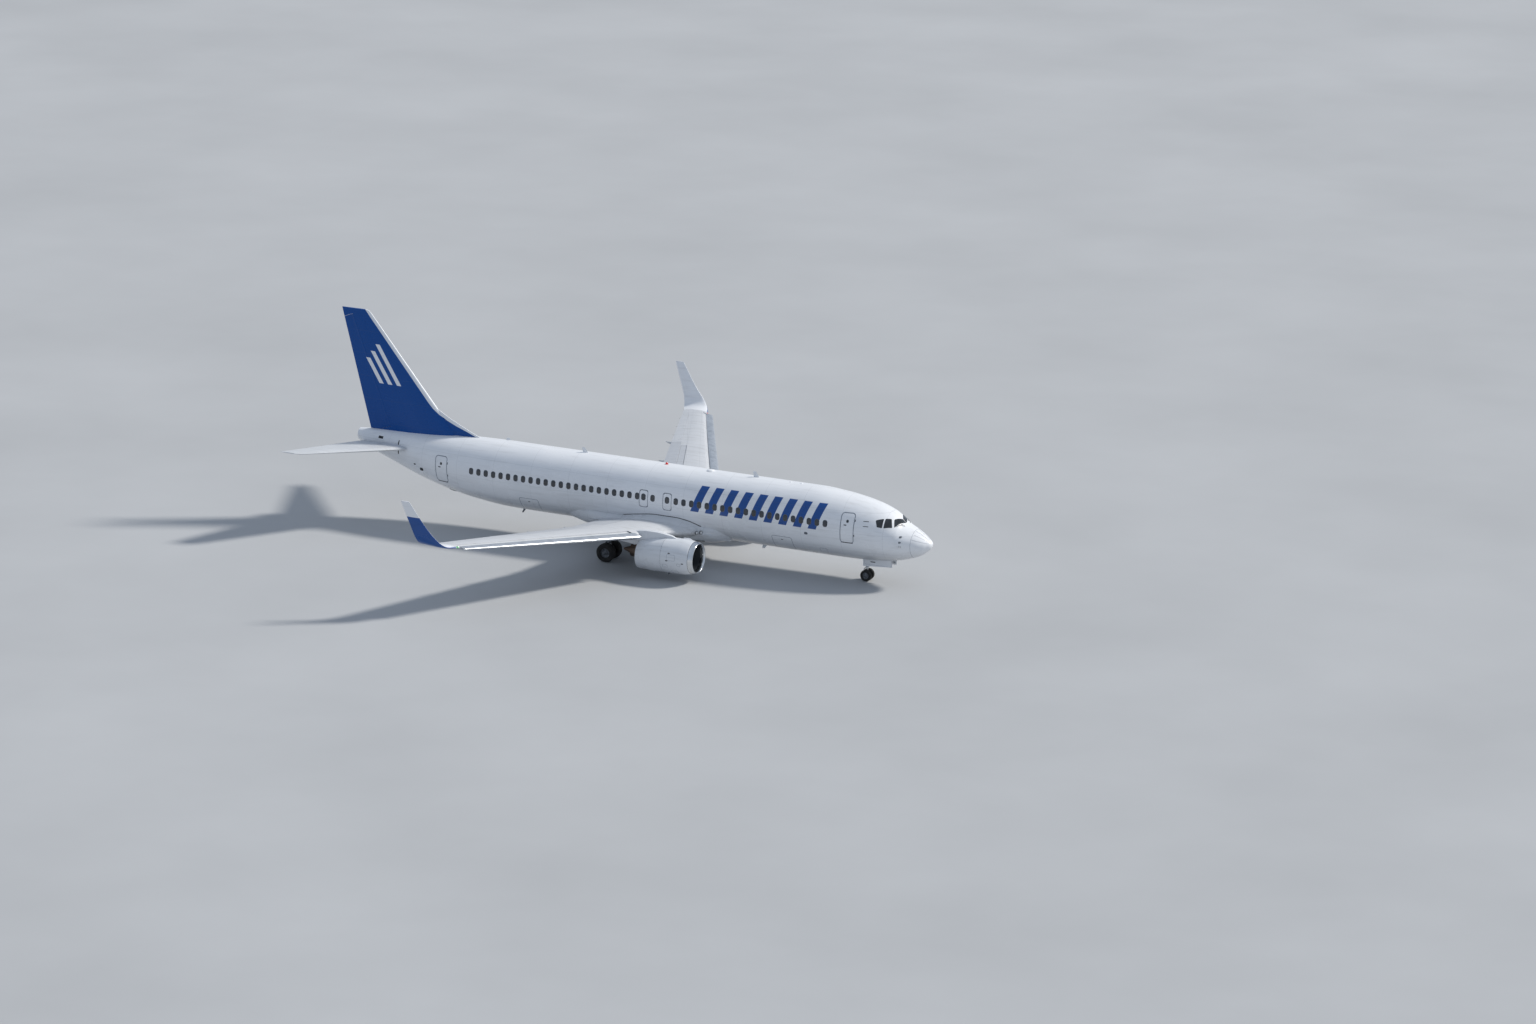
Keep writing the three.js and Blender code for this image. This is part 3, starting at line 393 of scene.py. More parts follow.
# height and station where the fin's blue starts behind its white strip
finEdge = [(5.44, 29.98), (5.7, 30.6), (5.98, 31.37), (6.26, 32.0), (6.58, 32.49), (6.9, 32.88),
           (7.24, 33.19), (12.34, 37.37), (12.6, 37.6)]
finBars = {"aft": 36.55, "low": 8.05, "pitch": 0.62, "width": 0.3, "tall": [1.5, 1.95, 2.4], "slant": 0.62}


def within(tree, value, low, high, soft=0.008):
    rise = ramp(tree, value, low - soft, low + soft)
    fall = ramp(tree, value, high - soft, high + soft, 1.0, 0.0)
    return times(tree, rise, fall)


def slantedBars(sheet, first, last, low, high, pitch, width, slant):
    # upright bars leaning forward, between two stations and two heights
    tree = sheet.tree
    along = plus(tree, sheet.station, times(tree, sheet.height, slant))
    start = first + low * slant
    phase = calc(tree, "WRAP", minus(tree, along, start), pitch, 0.0)
    bar = within(tree, phase, 0.03, 0.03 + width)
    whole = within(tree, along, start, start + (last - first))
    return times(tree, times(tree, bar, whole), within(tree, sheet.height, low, high))


def ringShare(sheet, centreStation, centreAway, radius, top):
    # 1 inside an upright cylinder below a height
    tree = sheet.tree
    along = minus(tree, sheet.station, centreStation)
    across = minus(tree, sheet.away, centreAway)
    reach = reachOf(tree, along, across)
    return times(tree, ramp(tree, reach, radius, radius + 0.004, 1.0, 0.0),
                 ramp(tree, sheet.z, top, top + 0.004, 1.0, 0.0))


def wellShare(sheet):
    return ringShare(sheet, wells["station"], wells["y"], wells["radius"] + 0.003, wells["top"] + 0.003)


def bayShare(sheet):
    tree = sheet.tree
    long = within(tree, sheet.station, bay["front"] - 0.003, bay["back"] + 0.003, 0.002)
    wide = ramp(tree, sheet.away, bay["half"] + 0.001, bay["half"] + 0.004, 1.0, 0.0)
    return times(tree, times(tree, long, wide),
                 ramp(tree, sheet.z, bay["roof"] + 0.002, bay["roof"] + 0.006, 1.0, 0.0))


def recessShare(sheet):
    # 1 behind the overwing exits, from a little way inside the round of the hull, where the openings are
    # painted dark as painted shade
    tree = sheet.tree
    across = calc(tree, "DIVIDE", sheet.away, recess["half"])
    rise = calc(tree, "DIVIDE", minus(tree, sheet.height, recess["waist"]), recess["half"])
    reach = reachOf(tree, across, rise)
    long = within(tree, sheet.station, recess["front"], recess["back"])
    return times(tree, long, ramp(tree, reach, recess["share"] - 0.002, recess["share"] + 0.002, 1.0, 0.0))


def fairingColour(sheet):
    return blendColour(sheet.tree, wellShare(sheet), livery["fairing"], livery["well"])


def nacelleColour(sheet):
    # white outside; dark grey inside, partly the sound-absorbing liner's own colour and partly painted shade
    tree = sheet.tree
    across = minus(tree, sheet.away, engine["y"])
    aft = minus(tree, sheet.station, engine["lip"])
    rise = plus(tree, minus(tree, sheet.z, engine["z"]), ramp(tree, aft, 2.05, 3.77, 0.0, engine["droop"]))
    reach = reachOf(tree, across, rise)
    inside = minus(tree, reach, ramp(tree, aft, 2.4, 3.77, 0.93, 0.861))
    liner = ramp(tree, inside, -0.004, 0.004, 1.0, 0.0)
    return blendColour(tree, liner, livery["nacelle"], livery["liner"])


def skinColour(sheet):
    # white, turning darker grey towards the belly as painted shade, with the slanted bars
    tree = sheet.tree
    low, soft = bellyShadeEdge["height"], bellyShadeEdge["soft"]
    tone = blendColour(tree, ramp(tree, sheet.height, low - soft, low + soft, 1.0, 0.0),
                       livery["white"], livery["belly"])
    s = stripes
    bars = slantedBars(sheet, s["from"], s["to"], s["low"], s["low"] + s["tall"], s["pitch"], s["width"],
                       s["slant"])
    return blendColour(tree, bars, tone, livery["blue"])


def hullColour(sheet):
    tree = sheet.tree
    # inside the exit openings the hull is painted dark grey: painted shade
    tone = blendColour(tree, recessShare(sheet), skinColour(sheet), livery["liner"])
    return blendColour(tree, calc(tree, "MAXIMUM", wellShare(sheet), bayShare(sheet)), tone, livery["well"])


def curveOf(sheet, value, rows):
    # a straight-lined reading of (key, value) rows through a float curve
    tree = sheet.tree
    keys, reads = [r[0] for r in rows], [r[1] for r in rows]
    spanKey, spanRead = keys[-1] - keys[0], max(reads) - min(reads)
    curve = addNode(tree, "ShaderNodeFloatCurve")
    line = curve.mapping.curves[0]
    while len(line.points) < len(rows):
        line.points.new(0.5, 0.5)
    for point, key, read in zip(line.points, keys, reads):
        point.location = ((key - keys[0]) / spanKey, (read - min(reads)) / spanRead)
        point.handle_type = "VECTOR"
    curve.mapping.update()
    feed(tree, curve.inputs["Value"], ramp(tree, value, keys[0], keys[-1]))
    return calc(tree, "MULTIPLY_ADD", curve.outputs[0], spanRead, min(reads))


def finColour(sheet):
    tree = sheet.tree
    behind = minus(tree, sheet.station, curveOf(sheet, sheet.height, finEdge))
    strip = ramp(tree, behind, -0.01, 0.01, 1.0, 0.0)
    tone = blendColour(tree, strip, livery["blue"], livery["white"])
    for k, tall in enumerate(finBars["tall"]):
        start = finBars["aft"] - k * finBars["pitch"]
        along = minus(tree, sheet.station,
                      times(tree, minus(tree, sheet.height, finBars["low"]), finBars["slant"]))
        bar = times(tree, within(tree, along, start - finBars["width"], start),
                   within(tree, sheet.height, finBars["low"], finBars["low"] + tall))
        tone = blendColour(tree, bar, tone, livery["white"])
    return tone


def wingletColour(sheet):
    tree = sheet.tree
    out = addNode(tree, "ShaderNodeNewGeometry").outputs["Normal"]
    split = addNode(tree, "ShaderNodeSeparateXYZ", None, i0=out)
    faceOut = times(tree, split.outputs[1], calc(tree, "SIGN", sheet.y))
    outer = ramp(tree, faceOut, 0.02, 0.12)
    low = ramp(tree, sheet.height, 5.795, 5.805, 1.0, 0.0)
    return blendColour(tree, times(tree, outer, low), livery["white"], livery["blue"])


whiteLook = {"base": livery["white"], "shade": livery["whiteShade"], "grime": livery["grime"],
             "seam": livery["seam"], "rough": 0.3, "shadeShare": 0.35, "grimeShare": 0.2,
             "seamShare": 0.3, "coat": 0.12, "gloss": 0.5, "cloud": 0.7, "streakScale": 1.6}
blueLook = {**whiteLook, "base": livery["blue"], "shade": livery["blueShade"], "grime": rgb("3a5f94"),
            "rough": 0.28, "grimeShare": 0.12, "seamShare": 0.25, "shadeShare": 0.0, "gloss": 0.25,
            "coat": 0.03}
greyLook = {**whiteLook, "base": livery["grey"], "shade": livery["greyShade"], "rough": 0.4,
            "grimeShare": 0.3, "coat": 0.1}

hullPaint = paintwork("hull_paint", whiteLook, hullColour,
                      [seamsOn("station", 2.54), seamsOn("height", 1.16, 0.01)])
doorPaint = paintwork("door_paint", whiteLook, skinColour)
whitePaint = paintwork("white_paint_work", whiteLook, None, [seamsOn("station", 1.9)])
fairingPaint = paintwork("fairing_paint", {**whiteLook, "grimeShare": 0.3}, fairingColour,
                         [seamsOn("station", 1.27), seamsOn("height", 0.5, 0.01)])
nacellePaint = paintwork("nacelle_paint", {**whiteLook, "grimeShare": 0.3}, nacelleColour)
pylonPaint = paintwork("pylon_paint", {**whiteLook, "base": livery["nacelle"], "grimeShare": 0.35}, None,
                       [seamsOn("station", 0.8, 0.008)])
finPaint = paintwork("fin_paint", blueLook, finColour, [seamsOn("height", 1.4, 0.01)])
wingPaint = paintwork("wing_paint", greyLook, None, [seamsOn("away", 1.35), sweptSeams(0.9, 0.46)])
flapPaint = paintwork("flap_paint", {**greyLook, "base": rgb("c2c5ca"), "grimeShare": 0.35}, None,
                      [seamsOn("away", 1.1)])
tailPaint = paintwork("tail_paint", {**greyLook, "base": rgb("d5d8db")}, None,
                      [seamsOn("away", 1.25), sweptSeams(0.8, 0.62)])
wingletPaint = paintwork("winglet_paint", {**whiteLook, "shadeShare": 0.1}, wingletColour)
gearLook = {**whiteLook, "base": rgb("c9ced3"), "shade": rgb("9da3a9"), "grime": rgb("4b4640"),
            "grimeShare": 0.55, "rough": 0.38, "cloud": 6.0, "streakScale": 7.0}
gearPaint = paintwork("gear_paint_work", gearLook)
outlinePaint = paintwork("door_outline_paint", {**whiteLook, "base": livery["outline"], "rough": 0.42})
trimPaint = paintwork("trim_paint",
                      {**whiteLook, "base": rgb("5d646c"), "shade": rgb("444a51"), "rough": 0.5})


def metalwork(name, base, shade, rough, tintScale=3.0, metal=1.0, brush=(2.0, 40.0, 40.0), colour=None):
    # bare metal: brushed grain, cloudy oxide and small dents
    sheet = Sheet(name)
    tree = sheet.tree
    cloud = grain(tree, sheet.space, tintScale, 5.0)
    tone = blendColour(tree, ramp(tree, cloud, 0.35, 0.7), colour(sheet) if colour else base, shade)
    brushed = grain(tree, stretch(tree, sheet.space, *brush), 2.0, 4.0)
    dull = plus(tree, ramp(tree, brushed, 0.3, 0.7, rough - 0.05, rough + 0.07),
                ramp(tree, cloud, 0.3, 0.8, 0.0, 0.08))
    sheet.give({"Base Color": tone, "Roughness": dull, "Metallic": metal})
    return sheet.raised(brushed, 0.1, 0.003)


def heatColour(sheet):
    # nickel alloy that browns and blues towards the hot end
    tree = sheet.tree
    hot = ramp(tree, sheet.station, 15.4, 17.2)
    return blendColour(tree, hot, rgb("8d8780"), rgb("6a5344"))


polished = metalwork("polished_metal", rgb("e6e8ea"), rgb("cdd1d5"), 0.16)
slatMetal = metalwork("slat_metal", rgb("dfe2e5"), rgb("c3c8cd"), 0.3, metal=0.85)
hotMetal = metalwork("hot_metal_work", rgb("8d8780"), rgb("5c544d"), 0.38, colour=heatColour)
fanMetal = metalwork("fan_titanium", rgb("5f646a"), rgb("3c4046"), 0.34, brush=(30.0, 30.0, 3.0))
hubMetal = metalwork("wheel_metal", rgb("83878c"), rgb("4d5054"), 0.45, tintScale=9.0, metal=0.55)
brakeMetal = metalwork("brake_metal", rgb("4a4744"), rgb("2c2a29"), 0.55, tintScale=14.0, metal=0.7)
chrome = metalwork("chrome_work", rgb("e9ebee"), rgb("d3d6da"), 0.1)


def darkGlass(name, base, rough):
    # panes with a thin film of dust and a slight wave
    sheet = Sheet(name)
    tree = sheet.tree
    film = grain(tree, sheet.space, 3.5, 4.0)
    tone = blendColour(tree, ramp(tree, film, 0.4, 0.8, 0.0, 0.3), base, rgb("4a535c"))
    sheet.give({"Base Color": tone, "Roughness": ramp(tree, film, 0.3, 0.8, rough, rough + 0.1),
                "Specular IOR Level": 0.6, "Coat Weight": 0.6})
    return sheet.raised(grain(tree, sheet.space, 9.0), 0.04, 0.002)


cabinGlass = darkGlass("cabin_glass", rgb("22272d"), 0.12)
cockpitGlass = darkGlass("cockpit_glass", rgb("101316"), 0.07)


def rubber(name, base, worn, scale):
    # dull rubber, worn and dusty in patches
    sheet = Sheet(name)
    tree = sheet.tree
    patch = grain(tree, sheet.space, scale, 5.0)
    dust = grain(tree, sheet.space, scale * 6, 3.0)
    tone = blendColour(tree, ramp(tree, patch, 0.4, 0.75), base, worn)
    sheet.give({"Base Color": tone, "Roughness": ramp(tree, dust, 0.3, 0.8, 0.72, 0.92)})
    return sheet.raised(dust, 0.35, 0.003)


tyreRubber = rubber("tyre_rubber", rgb("1a1a1b"), rgb("35332f"), 5.0)
# dark rubber for seals, wipers and hoses, also used as painted shade in vents, openings, recesses and gaps
rubberAndPaintedShade = rubber("seal_rubber", rgb("24262a"), rgb("3a3d41"), 12.0)


ribPitch = 0.016


def lens(name, base, glow, strength):
    # glass with moulded ribs, a little cloudy
    sheet = Sheet(name)
    tree = sheet.tree
    ribs = ramp(tree, calc(tree, "PINGPONG", sheet.z, ribPitch / 2), 0.0, ribPitch / 2)
    cloud = grain(tree, sheet.space, 40.0, 2.0)
    share = times(tree, ribs, ramp(tree, cloud, 0.3, 0.7, 0.35, 0.6))
    sheet.give({"Base Color": blendColour(tree, share, base, glow),
                "Roughness": ramp(tree, cloud, 0.3, 0.7, 0.08, 0.2),
                "Emission Color": glow, "Emission Strength": strength, "Coat Weight": 0.8})
    return sheet.raised(ribs, 0.2, 0.002)


redLens = lens("red_lens", rgb("a01612"), rgb("d8322a"), 0.25)
greenLens = lens("green_lens", rgb("0f7a3c"), rgb("2fc46c"), 0.25)
clearLens = lens("clear_lens", rgb("9aa2aa"), rgb("f2f5f8"), 0.1)

# finish and slot of what comes up often
# the dark trim is rubber, and painted shade where it fills openings, recesses and gaps
darkTrim = (rubberAndPaintedShade, "dark_glass")
outlineTrim = (outlinePaint, "grey_paint")
greyTrim = (trimPaint, "grey_paint")
gearTrim = (gearPaint, "gear_paint")
clearTrim = (clearLens, "dark_glass")
wingTrim = (wingPaint, "grey_paint")
flapTrim = (flapPaint, "grey_paint")
finTrim = (finPaint, "blue_paint")
fairingTrim = (fairingPaint, "white_paint")
nacelleTrim = (nacellePaint, "white_paint")
chromeTrim = (chrome, "bright_metal")
print("finishes mixed")

# Hull

# station, crown height, keel height, half width, height of the widest point
hullRows = [
    (0.16, 3.175, 2.61, 0.35, 2.92),
    (0.4, 3.355, 2.38, 0.6, 2.9),
    (0.8, 3.605, 2.14, 0.88, 2.91),
    (1.66, 4.03, 1.84, 1.265, 3.0),
    (1.9, 4.24, 1.78, 1.35, 3.05),
    (2.35, 4.565, 1.7, 1.48, 3.12),
    (2.8, 4.785, 1.63, 1.58, 3.19),
    (3.4, 4.99, 1.57, 1.68, 3.28),
    (4.3, 5.195, 1.52, 1.78, 3.38),
    (5.6, 5.385, 1.495, 1.85, 3.5),
    (7.2, 5.5, 1.49, 1.88, 3.62),
    (25.5, 5.5, 1.49, 1.88, 3.62),
    (27.5, 5.5, 1.53, 1.87, 3.63),
    (29.5, 5.47, 1.71, 1.8, 3.68),
    (31.5, 5.4, 2.05, 1.62, 3.8),
    (33.5, 5.3, 2.58, 1.32, 3.98),
    (35.5, 5.2, 3.27, 0.93, 4.23),
    (37.2, 5.11, 3.89, 0.56, 4.49),
    (38.02, 5.03, 4.3, 0.35, 4.66),
]
hull = {"around": 112, "spacing": 0.24, "noseRound": 0.16, "tipWaist": 2.935, "end": 38.02,
        "fineSpacing": 0.1, "fineEnd": 3.4,
        "noseStations": [0.002, 0.01, 0.025, 0.05, 0.09, 0.13, 0.17, 0.23, 0.31, 0.4]}
# stations, nearness to the hull and agreement with a face for a vertex to be shaded by the hull's curve
hullShade = {"from": 0.02, "to": 38.0, "near": 0.006, "agree": 0.86}


def hullRow(station):
    if station >= hull["noseRound"]:
        return smoothAt(hullRows, station)
    _, crown, keel, half, waist = hullRows[0]
    share = sqrt(max(station, 0) / hull["noseRound"])
    middle = mix(hull["tipWaist"], waist, share)
    return [station, middle + (crown - waist) * share, middle - (waist - keel) * share, half * share,
            middle]


def hullPoint(station, angle):
    _, crown, keel, half, waist = hullRow(station)
    rise = crown - waist if sin(angle) > 0 else waist - keel
    return seated(xAt(station), half * cos(angle), waist + rise * sin(angle))


def hullNormal(station, angle):
    step = 0.01
    along = hullPoint(station + step, angle) - hullPoint(max(station - step, 0), angle)
    around = hullPoint(station, angle + step) - hullPoint(station, angle - step)
    return around.cross(along).normalized() * -1


def hullAngle(station, z, side):
    _, crown, keel, _, waist = hullRow(station)
    rise = crown - waist if z > waist else waist - keel
    lift = asin(max(-1, min(1, (z - waist) / rise)))
    return lift if side > 0 else pi - lift


def offHull(station, angle, lift):
    return hullPoint(station, angle) + hullNormal(station, angle) * lift


def onHull(station, z, side, lift=0.0):
    return offHull(station, hullAngle(station, z, side), lift)


def roundedBox(halfWide, halfTall, corner, steps=6):
    outline = []
    for k, (sx, sz) in enumerate([(1, 1), (-1, 1), (-1, -1), (1, -1)]):
        for i in range(steps + 1):
            a = pi / 2 * (k + i / steps)
            outline.append((sx * (halfWide - corner) + corner * cos(a),
                            sz * (halfTall - corner) + corner * sin(a)))
    return outline


def dense(outline, step):
    # the same outline with no side longer than a step, so that it can bend with the skin
    points = []
    for (u0, v0), (u1, v1) in zip(outline, outline[1:] + outline[:1]):
        count = max(1, ceil(hypot(u1 - u0, v1 - v0) / step))
        points += [(mix(u0, u1, k / count), mix(v0, v1, k / count)) for k in range(count)]
    return points


drawIn = (0.86, 0.72, 0.58, 0.44, 0.3, 0.16)


def skinSlab(name, place, outline, low, edge, crease=35):
    # a slab that bends with the skin: its back at one lift, its face drawn in from the edge
    top = edge[-1][1]
    layers = [(share, low) for share in drawIn[::-1]] + [(1, low)] + edge
    layers += [(share, top) for share in drawIn]
    n = len(outline)
    points = [place(u * share, v * share, lift) for share, lift in layers for u, v in outline]
    faces = stitched(len(layers), n)
    last = (len(layers) - 1) * n
    points += [place(0, 0, low), place(0, 0, top)]
    faces += [((i + 1) % n, i, len(points) - 2) for i in range(n)]
    faces += [(last + i, last + (i + 1) % n, len(points) - 1) for i in range(n)]
    return makeMesh(name, points, faces, crease)


flushFace = [(1, 0.003), (0.97, 0.004)]
ventFace = [(1, 0.003), (0.95, 0.004)]


def plate(name, place, wide, tall, corner, face, low=-0.004, steps=4, step=None):
    # a thin rounded plate; with a step it bends with the skin
    outline = roundedBox(wide, tall, corner, steps)
    return skinSlab(name, place, dense(outline, step) if step else outline, low, face)


def sidePlace(station, z, side):
    return lambda u, v, lift: onHull(station + u, z + v, side, lift)


def hullNormals(piece):
    # shades what lies on the hull by the hull's own curve
    mesh = piece.data
    shades = []
    for v in mesh.vertices:
        station = stance["length"] / 2 - v.co.x
        z = v.co.z - leanAt(v.co.x)
        if not hullShade["from"] < station < hullShade["to"]:
            shades.append(None)
            continue
        _, crown, keel, half, waist = hullRow(station)
        rise = crown - waist if z > waist else waist - keel
        up, out = (z - waist) / rise, v.co.y / half
        angle = atan2(up, out)
        near = abs(hypot(up, out) - 1) < hullShade["near"]
        shades.append(hullNormal(station, angle) if near else None)
    split = []
    for polygon in mesh.polygons:
        for i in polygon.vertices:
            smooth = shades[i]
            agrees = smooth is not None and smooth.dot(polygon.normal) > hullShade["agree"]
            split.append(smooth if agrees else polygon.normal)
    mesh.normals_split_custom_set(split)
    return piece


cabinDoors = [
    {"name": "entry_door_front_left", "side": 1, "front": 4.35, "back": 5.21, "sill": 2.83, "top": 4.66},
    {"name": "entry_door_rear_left", "side": 1, "front": 31.15, "back": 32.01, "sill": 2.86, "top": 4.56},
    {"name": "service_door_front_right", "side": -1, "front": 4.31, "back": 5.07, "sill": 2.9, "top": 4.56},
    {"name": "service_door_rear_right", "side": -1, "front": 31.2, "back": 31.96, "sill": 2.86,
     "top": 4.42},
]
doorSet = {"corner": 0.15, "roomCorner": 0.157, "depth": 0.055, "gap": 0.007, "topGap": 0.007,
           "outline": 0.038}
# the turn of a door's edge, and how far its opening goes past the panel
doorEdge = {"step": 0.06, "round": [(1, -0.004), (0.994, 0)], "below": 0.03, "above": 0.04, "clear": 0.003}
# an exit turns up about its hinge, so its opening is a little roomier than the panel at the top
exits = {"stations": (16.28, 17.83), "width": 0.51, "sill": 3.28, "tall": 0.96, "corner": 0.125,
         "roomCorner": 0.105, "depth": 0.05, "gap": 0.012, "topGap": 0.018, "outline": 0.022,
         "hingeInset": 0.018, "hingeRadius": 0.009, "hingeOver": 0.03}


def doorBox(door):
    place = sidePlace((door["front"] + door["back"]) / 2, (door["sill"] + door["top"]) / 2, door["side"])
    return place, (door["back"] - door["front"]) / 2, (door["top"] - door["sill"]) / 2


def doorParts(door, fit, name):
    place, wide, tall = doorBox(door)
    e = doorEdge
    panel = plate(name, place, wide, tall, fit["corner"], e["round"], -fit["depth"], 6, e["step"])
    hole = plate(name + "_room", place, wide + fit["gap"], tall + fit["topGap"], fit["roomCorner"],
                 [(1, e["above"])], -fit["depth"] - e["below"], 6, e["step"])
    return hullNormals(panel), hole


def doorFrame(name, door, fit):
    # a painted outline round a door: a thin band that lies on the skin
    place, wide, tall = doorBox(door)
    grow = doorEdge["clear"]
    return band(name, place, wide + fit["gap"] + grow, tall + fit["topGap"] + grow, fit["roomCorner"],
                fit["outline"])


def band(name, place, wide, tall, corner, width, lift=0.002, step=0.06):
    # a flat strip round a rounded box
    outline = dense(roundedBox(wide, tall, corner), step)
    grown = [(u + width * du, v + width * dv) for (u, v), (du, dv) in zip(outline, outwards(outline))]
    return strip(name, place, outline, grown, lift)


def outwards(outline):
    # which way is out, at each point of an outline that runs anticlockwise
    ways = []
    for (u0, v0), (u1, v1) in zip(outline[-1:] + outline[:-1], outline[1:] + outline[:1]):
        size = hypot(u1 - u0, v1 - v0)
        ways.append(((v1 - v0) / size, (u0 - u1) / size))
    return ways


bandSink = 0.004


def strip(name, place, inner, outer, lift):
    # a thin strip between two outlines, its foot a little way into the skin
    rows = (outer, -bandSink), (outer, lift), (inner, lift), (inner, -bandSink)
    return roundLoft(name, [[place(u, v, h) for u, v in outline] for outline, h in rows], 60)


def cylinderAt(name, x, y, z0, z1, radius, segments=48):
    return turned(name, [(z0, radius), (z1, radius)], upright(x, y), segments, closed=False)


def boxAt(name, xs, ys, zs):
    (x0, x1), (y0, y1), (z0, z1) = sorted(xs), sorted(ys), sorted(zs)
    return loft(name, [[(x, y0, z0), (x, y1, z0), (x, y1, z1), (x, y0, z1)] for x in (x0, x1)])


tailPipe = {"from": 37.5, "to": 38.1, "radius": 0.2}


def tailPlace():
    # about the middle of the hull's open end
    middle = (hullRows[-1][1] + hullRows[-1][2]) / 2
    return lambda h, r, a: seated(xAt(h), r * cos(a), middle + r * sin(a))


def wellCutters(tag):
    return [cylinderAt(f"well_room_{tag}_{name}", xAt(wells["station"]), side * wells["y"], wells["low"],
                       wells["top"], wells["radius"])
            for name, side in sides]


def buildHull():
    n = hull["around"]
    stations = [*hull["noseStations"]]
    while stations[-1] < hull["end"] - hull["spacing"]:
        stations.append(stations[-1] + (hull["fineSpacing"] if stations[-1] < hull["fineEnd"]
                                        else hull["spacing"]))
    stations.append(hull["end"])
    rings = [[hullPoint(s, 2 * pi * (i + 0.5) / n) for i in range(n)] for s in stations]
    skin = loft("hull_skin", rings)
    cutters = wellCutters("hull")
    cutters.append(boxAt("bay_room", (xAt(bay["back"]), xAt(bay["front"])), (-bay["half"], bay["half"]),
                         (bay["low"], bay["roof"])))
    cutters.append(turned("outlet_room", [(tailPipe[end], tailPipe["radius"]) for end in ("from", "to")],
                          tailPlace(), 32, closed=False))
    panels = []
    for door in cabinDoors:
        panel, hole = doorParts(door, doorSet, door["name"].replace("door", "door_panel"))
        cutters.append(hole)
        panels.append((panel, "airframe", door["name"]))
        outline = doorFrame(door["name"].replace("door", "door_outline"), door, doorSet)
        settle(outline, outlineTrim)
    for hand, side in sides:
        for which, station in zip(("front", "rear"), exits["stations"]):
            node = f"overwing_exit_{which}_{hand}"
            door = {"side": side, "front": station - exits["width"] / 2,
                    "back": station + exits["width"] / 2,
                    "sill": exits["sill"], "top": exits["sill"] + exits["tall"]}
            panel, hole = doorParts(door, exits, f"exit_panel_{which}_{hand}")
            cutters.append(hole)
            panels.append((panel, node, node))
            outline = doorFrame(f"exit_outline_{which}_{hand}", door, exits)
            settle(outline, outlineTrim)
            z = door["top"] - exits["hingeInset"]
            y = onHull(station, z, side).y - side * exits["hingeInset"]
            reach = exits["width"] / 2 + exits["hingeOver"]
            rod = tube(f"exit_hinge_{which}_{hand}",
                       [seated(xAt(station + way * reach), y, z) for way in (-1, 0, 1)],
                       exits["hingeRadius"])
            settle(rod, greyTrim)
    carve(skin, cutters)
    hullNormals(skin)
    settle(skin, (hullPaint, "white_paint"), "fuselage")
    for panel, body, node in panels:
        settle(panel, (doorPaint, "white_paint"), node, body=body)


buildHull()
print("hull and doors made")

# Cabin windows

windowSet = {"first": 29.42, "last": 5.6, "pitch": 0.508, "height": 3.86, "wide": 0.13, "tall": 0.185,
             "corner": 0.11, "rim": 0.018, "rimLift": 0.004, "skipped": (16.85,), "skipReach": 0.3,
             "face": [(1, 0.001), (0.96, 0.002)], "exitReach": 0.27}


def cabinWindows():
    w = windowSet
    count = int((w["first"] - w["last"]) / w["pitch"])
    stations = [w["first"] - k * w["pitch"] for k in range(count + 1)]
    for hand, side in sides:
        rims, panes = [], []
        for station in stations:
            if any(abs(station - s) < w["skipReach"] for s in w["skipped"]):
                continue
            if any(abs(station - s) < w["exitReach"] for s in exits["stations"]):
                continue
            rims.append(windowRim(station, side))
            panes.append(windowPane(station, side))
        settle(gather(f"window_rims_{hand}", rims), greyTrim)
        settle(gather(f"window_panes_{hand}", panes), (cabinGlass, "dark_glass"))
        for which, station in zip(("front", "rear"), exits["stations"]):
            body = f"overwing_exit_{which}_{hand}"
            rim, pane = windowRim(station, side), windowPane(station, side)
            rim.name, pane.name = f"exit_window_rim_{which}_{hand}", f"exit_window_pane_{which}_{hand}"
            settle(rim, greyTrim, body=body)
            settle(pane, (cabinGlass, "dark_glass"), body=body)


def windowRim(station, side):
    w = windowSet
    return band("rim", sidePlace(station, w["height"], side), w["wide"], w["tall"], w["corner"], w["rim"],
                w["rimLift"])


def windowPane(station, side):
    w = windowSet
    return plate("pane", sidePlace(station, w["height"], side), w["wide"], w["tall"], w["corner"],
                 w["face"], step=0.1)


cabinWindows()
print("cabin windows made")

# Cockpit panes: four corners as station and height, or as station and angle where a height is past the crown

cockpit = {"lift": 0.006, "sink": 0.01, "corner": 0.22, "bend": 0.12, "sealShare": 1.08, "sealLift": 0.004}
paneCorners = {
    "front": [(1.685, 88.0), (2.0, 3.965), (2.16, 4.31), (1.9, 88.0)],
    "middle": [(2.13, 3.955), (2.55, 3.94), (2.58, 4.375), (2.3, 4.345)],
    "rear": [(2.65, 3.945), (2.93, 3.975), (3.06, 4.3), (2.68, 4.37)],
}


def paneAngle(station, value, side):
    if value > 20:
        lift = radians(value)
        return lift if side > 0 else pi - lift
    return hullAngle(station, value, side)


def cockpitPanes():
    for hand, side in sides:
        for which, corners in paneCorners.items():
            spots = [(s, paneAngle(s, v, side)) for s, v in corners]

            def place(u, v, lift, spots=spots):
                a, b = (u + 1) / 2, (v + 1) / 2
                station, angle = [mix(mix(spots[0][k], spots[1][k], a), mix(spots[3][k], spots[2][k], a), b)
                                  for k in (0, 1)]
                return offHull(station, angle, lift)

            outline = dense(roundedBox(1.0, 1.0, cockpit["corner"], 5), cockpit["bend"])
            pane = skinSlab(f"cockpit_pane_{which}_{hand}", place, outline, -cockpit["sink"],
                            [(1, 0.002), (0.98, cockpit["lift"])])
            settle(pane, (cockpitGlass, "dark_glass"))
            grown = [(u * cockpit["sealShare"], v * cockpit["sealShare"]) for u, v in outline]
            seal = strip(f"cockpit_seal_{which}_{hand}", place, outline, grown, cockpit["sealLift"])
            settle(seal, darkTrim)
    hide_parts("cockpit_glazing")


cockpitPanes()
print("cockpit panes made")

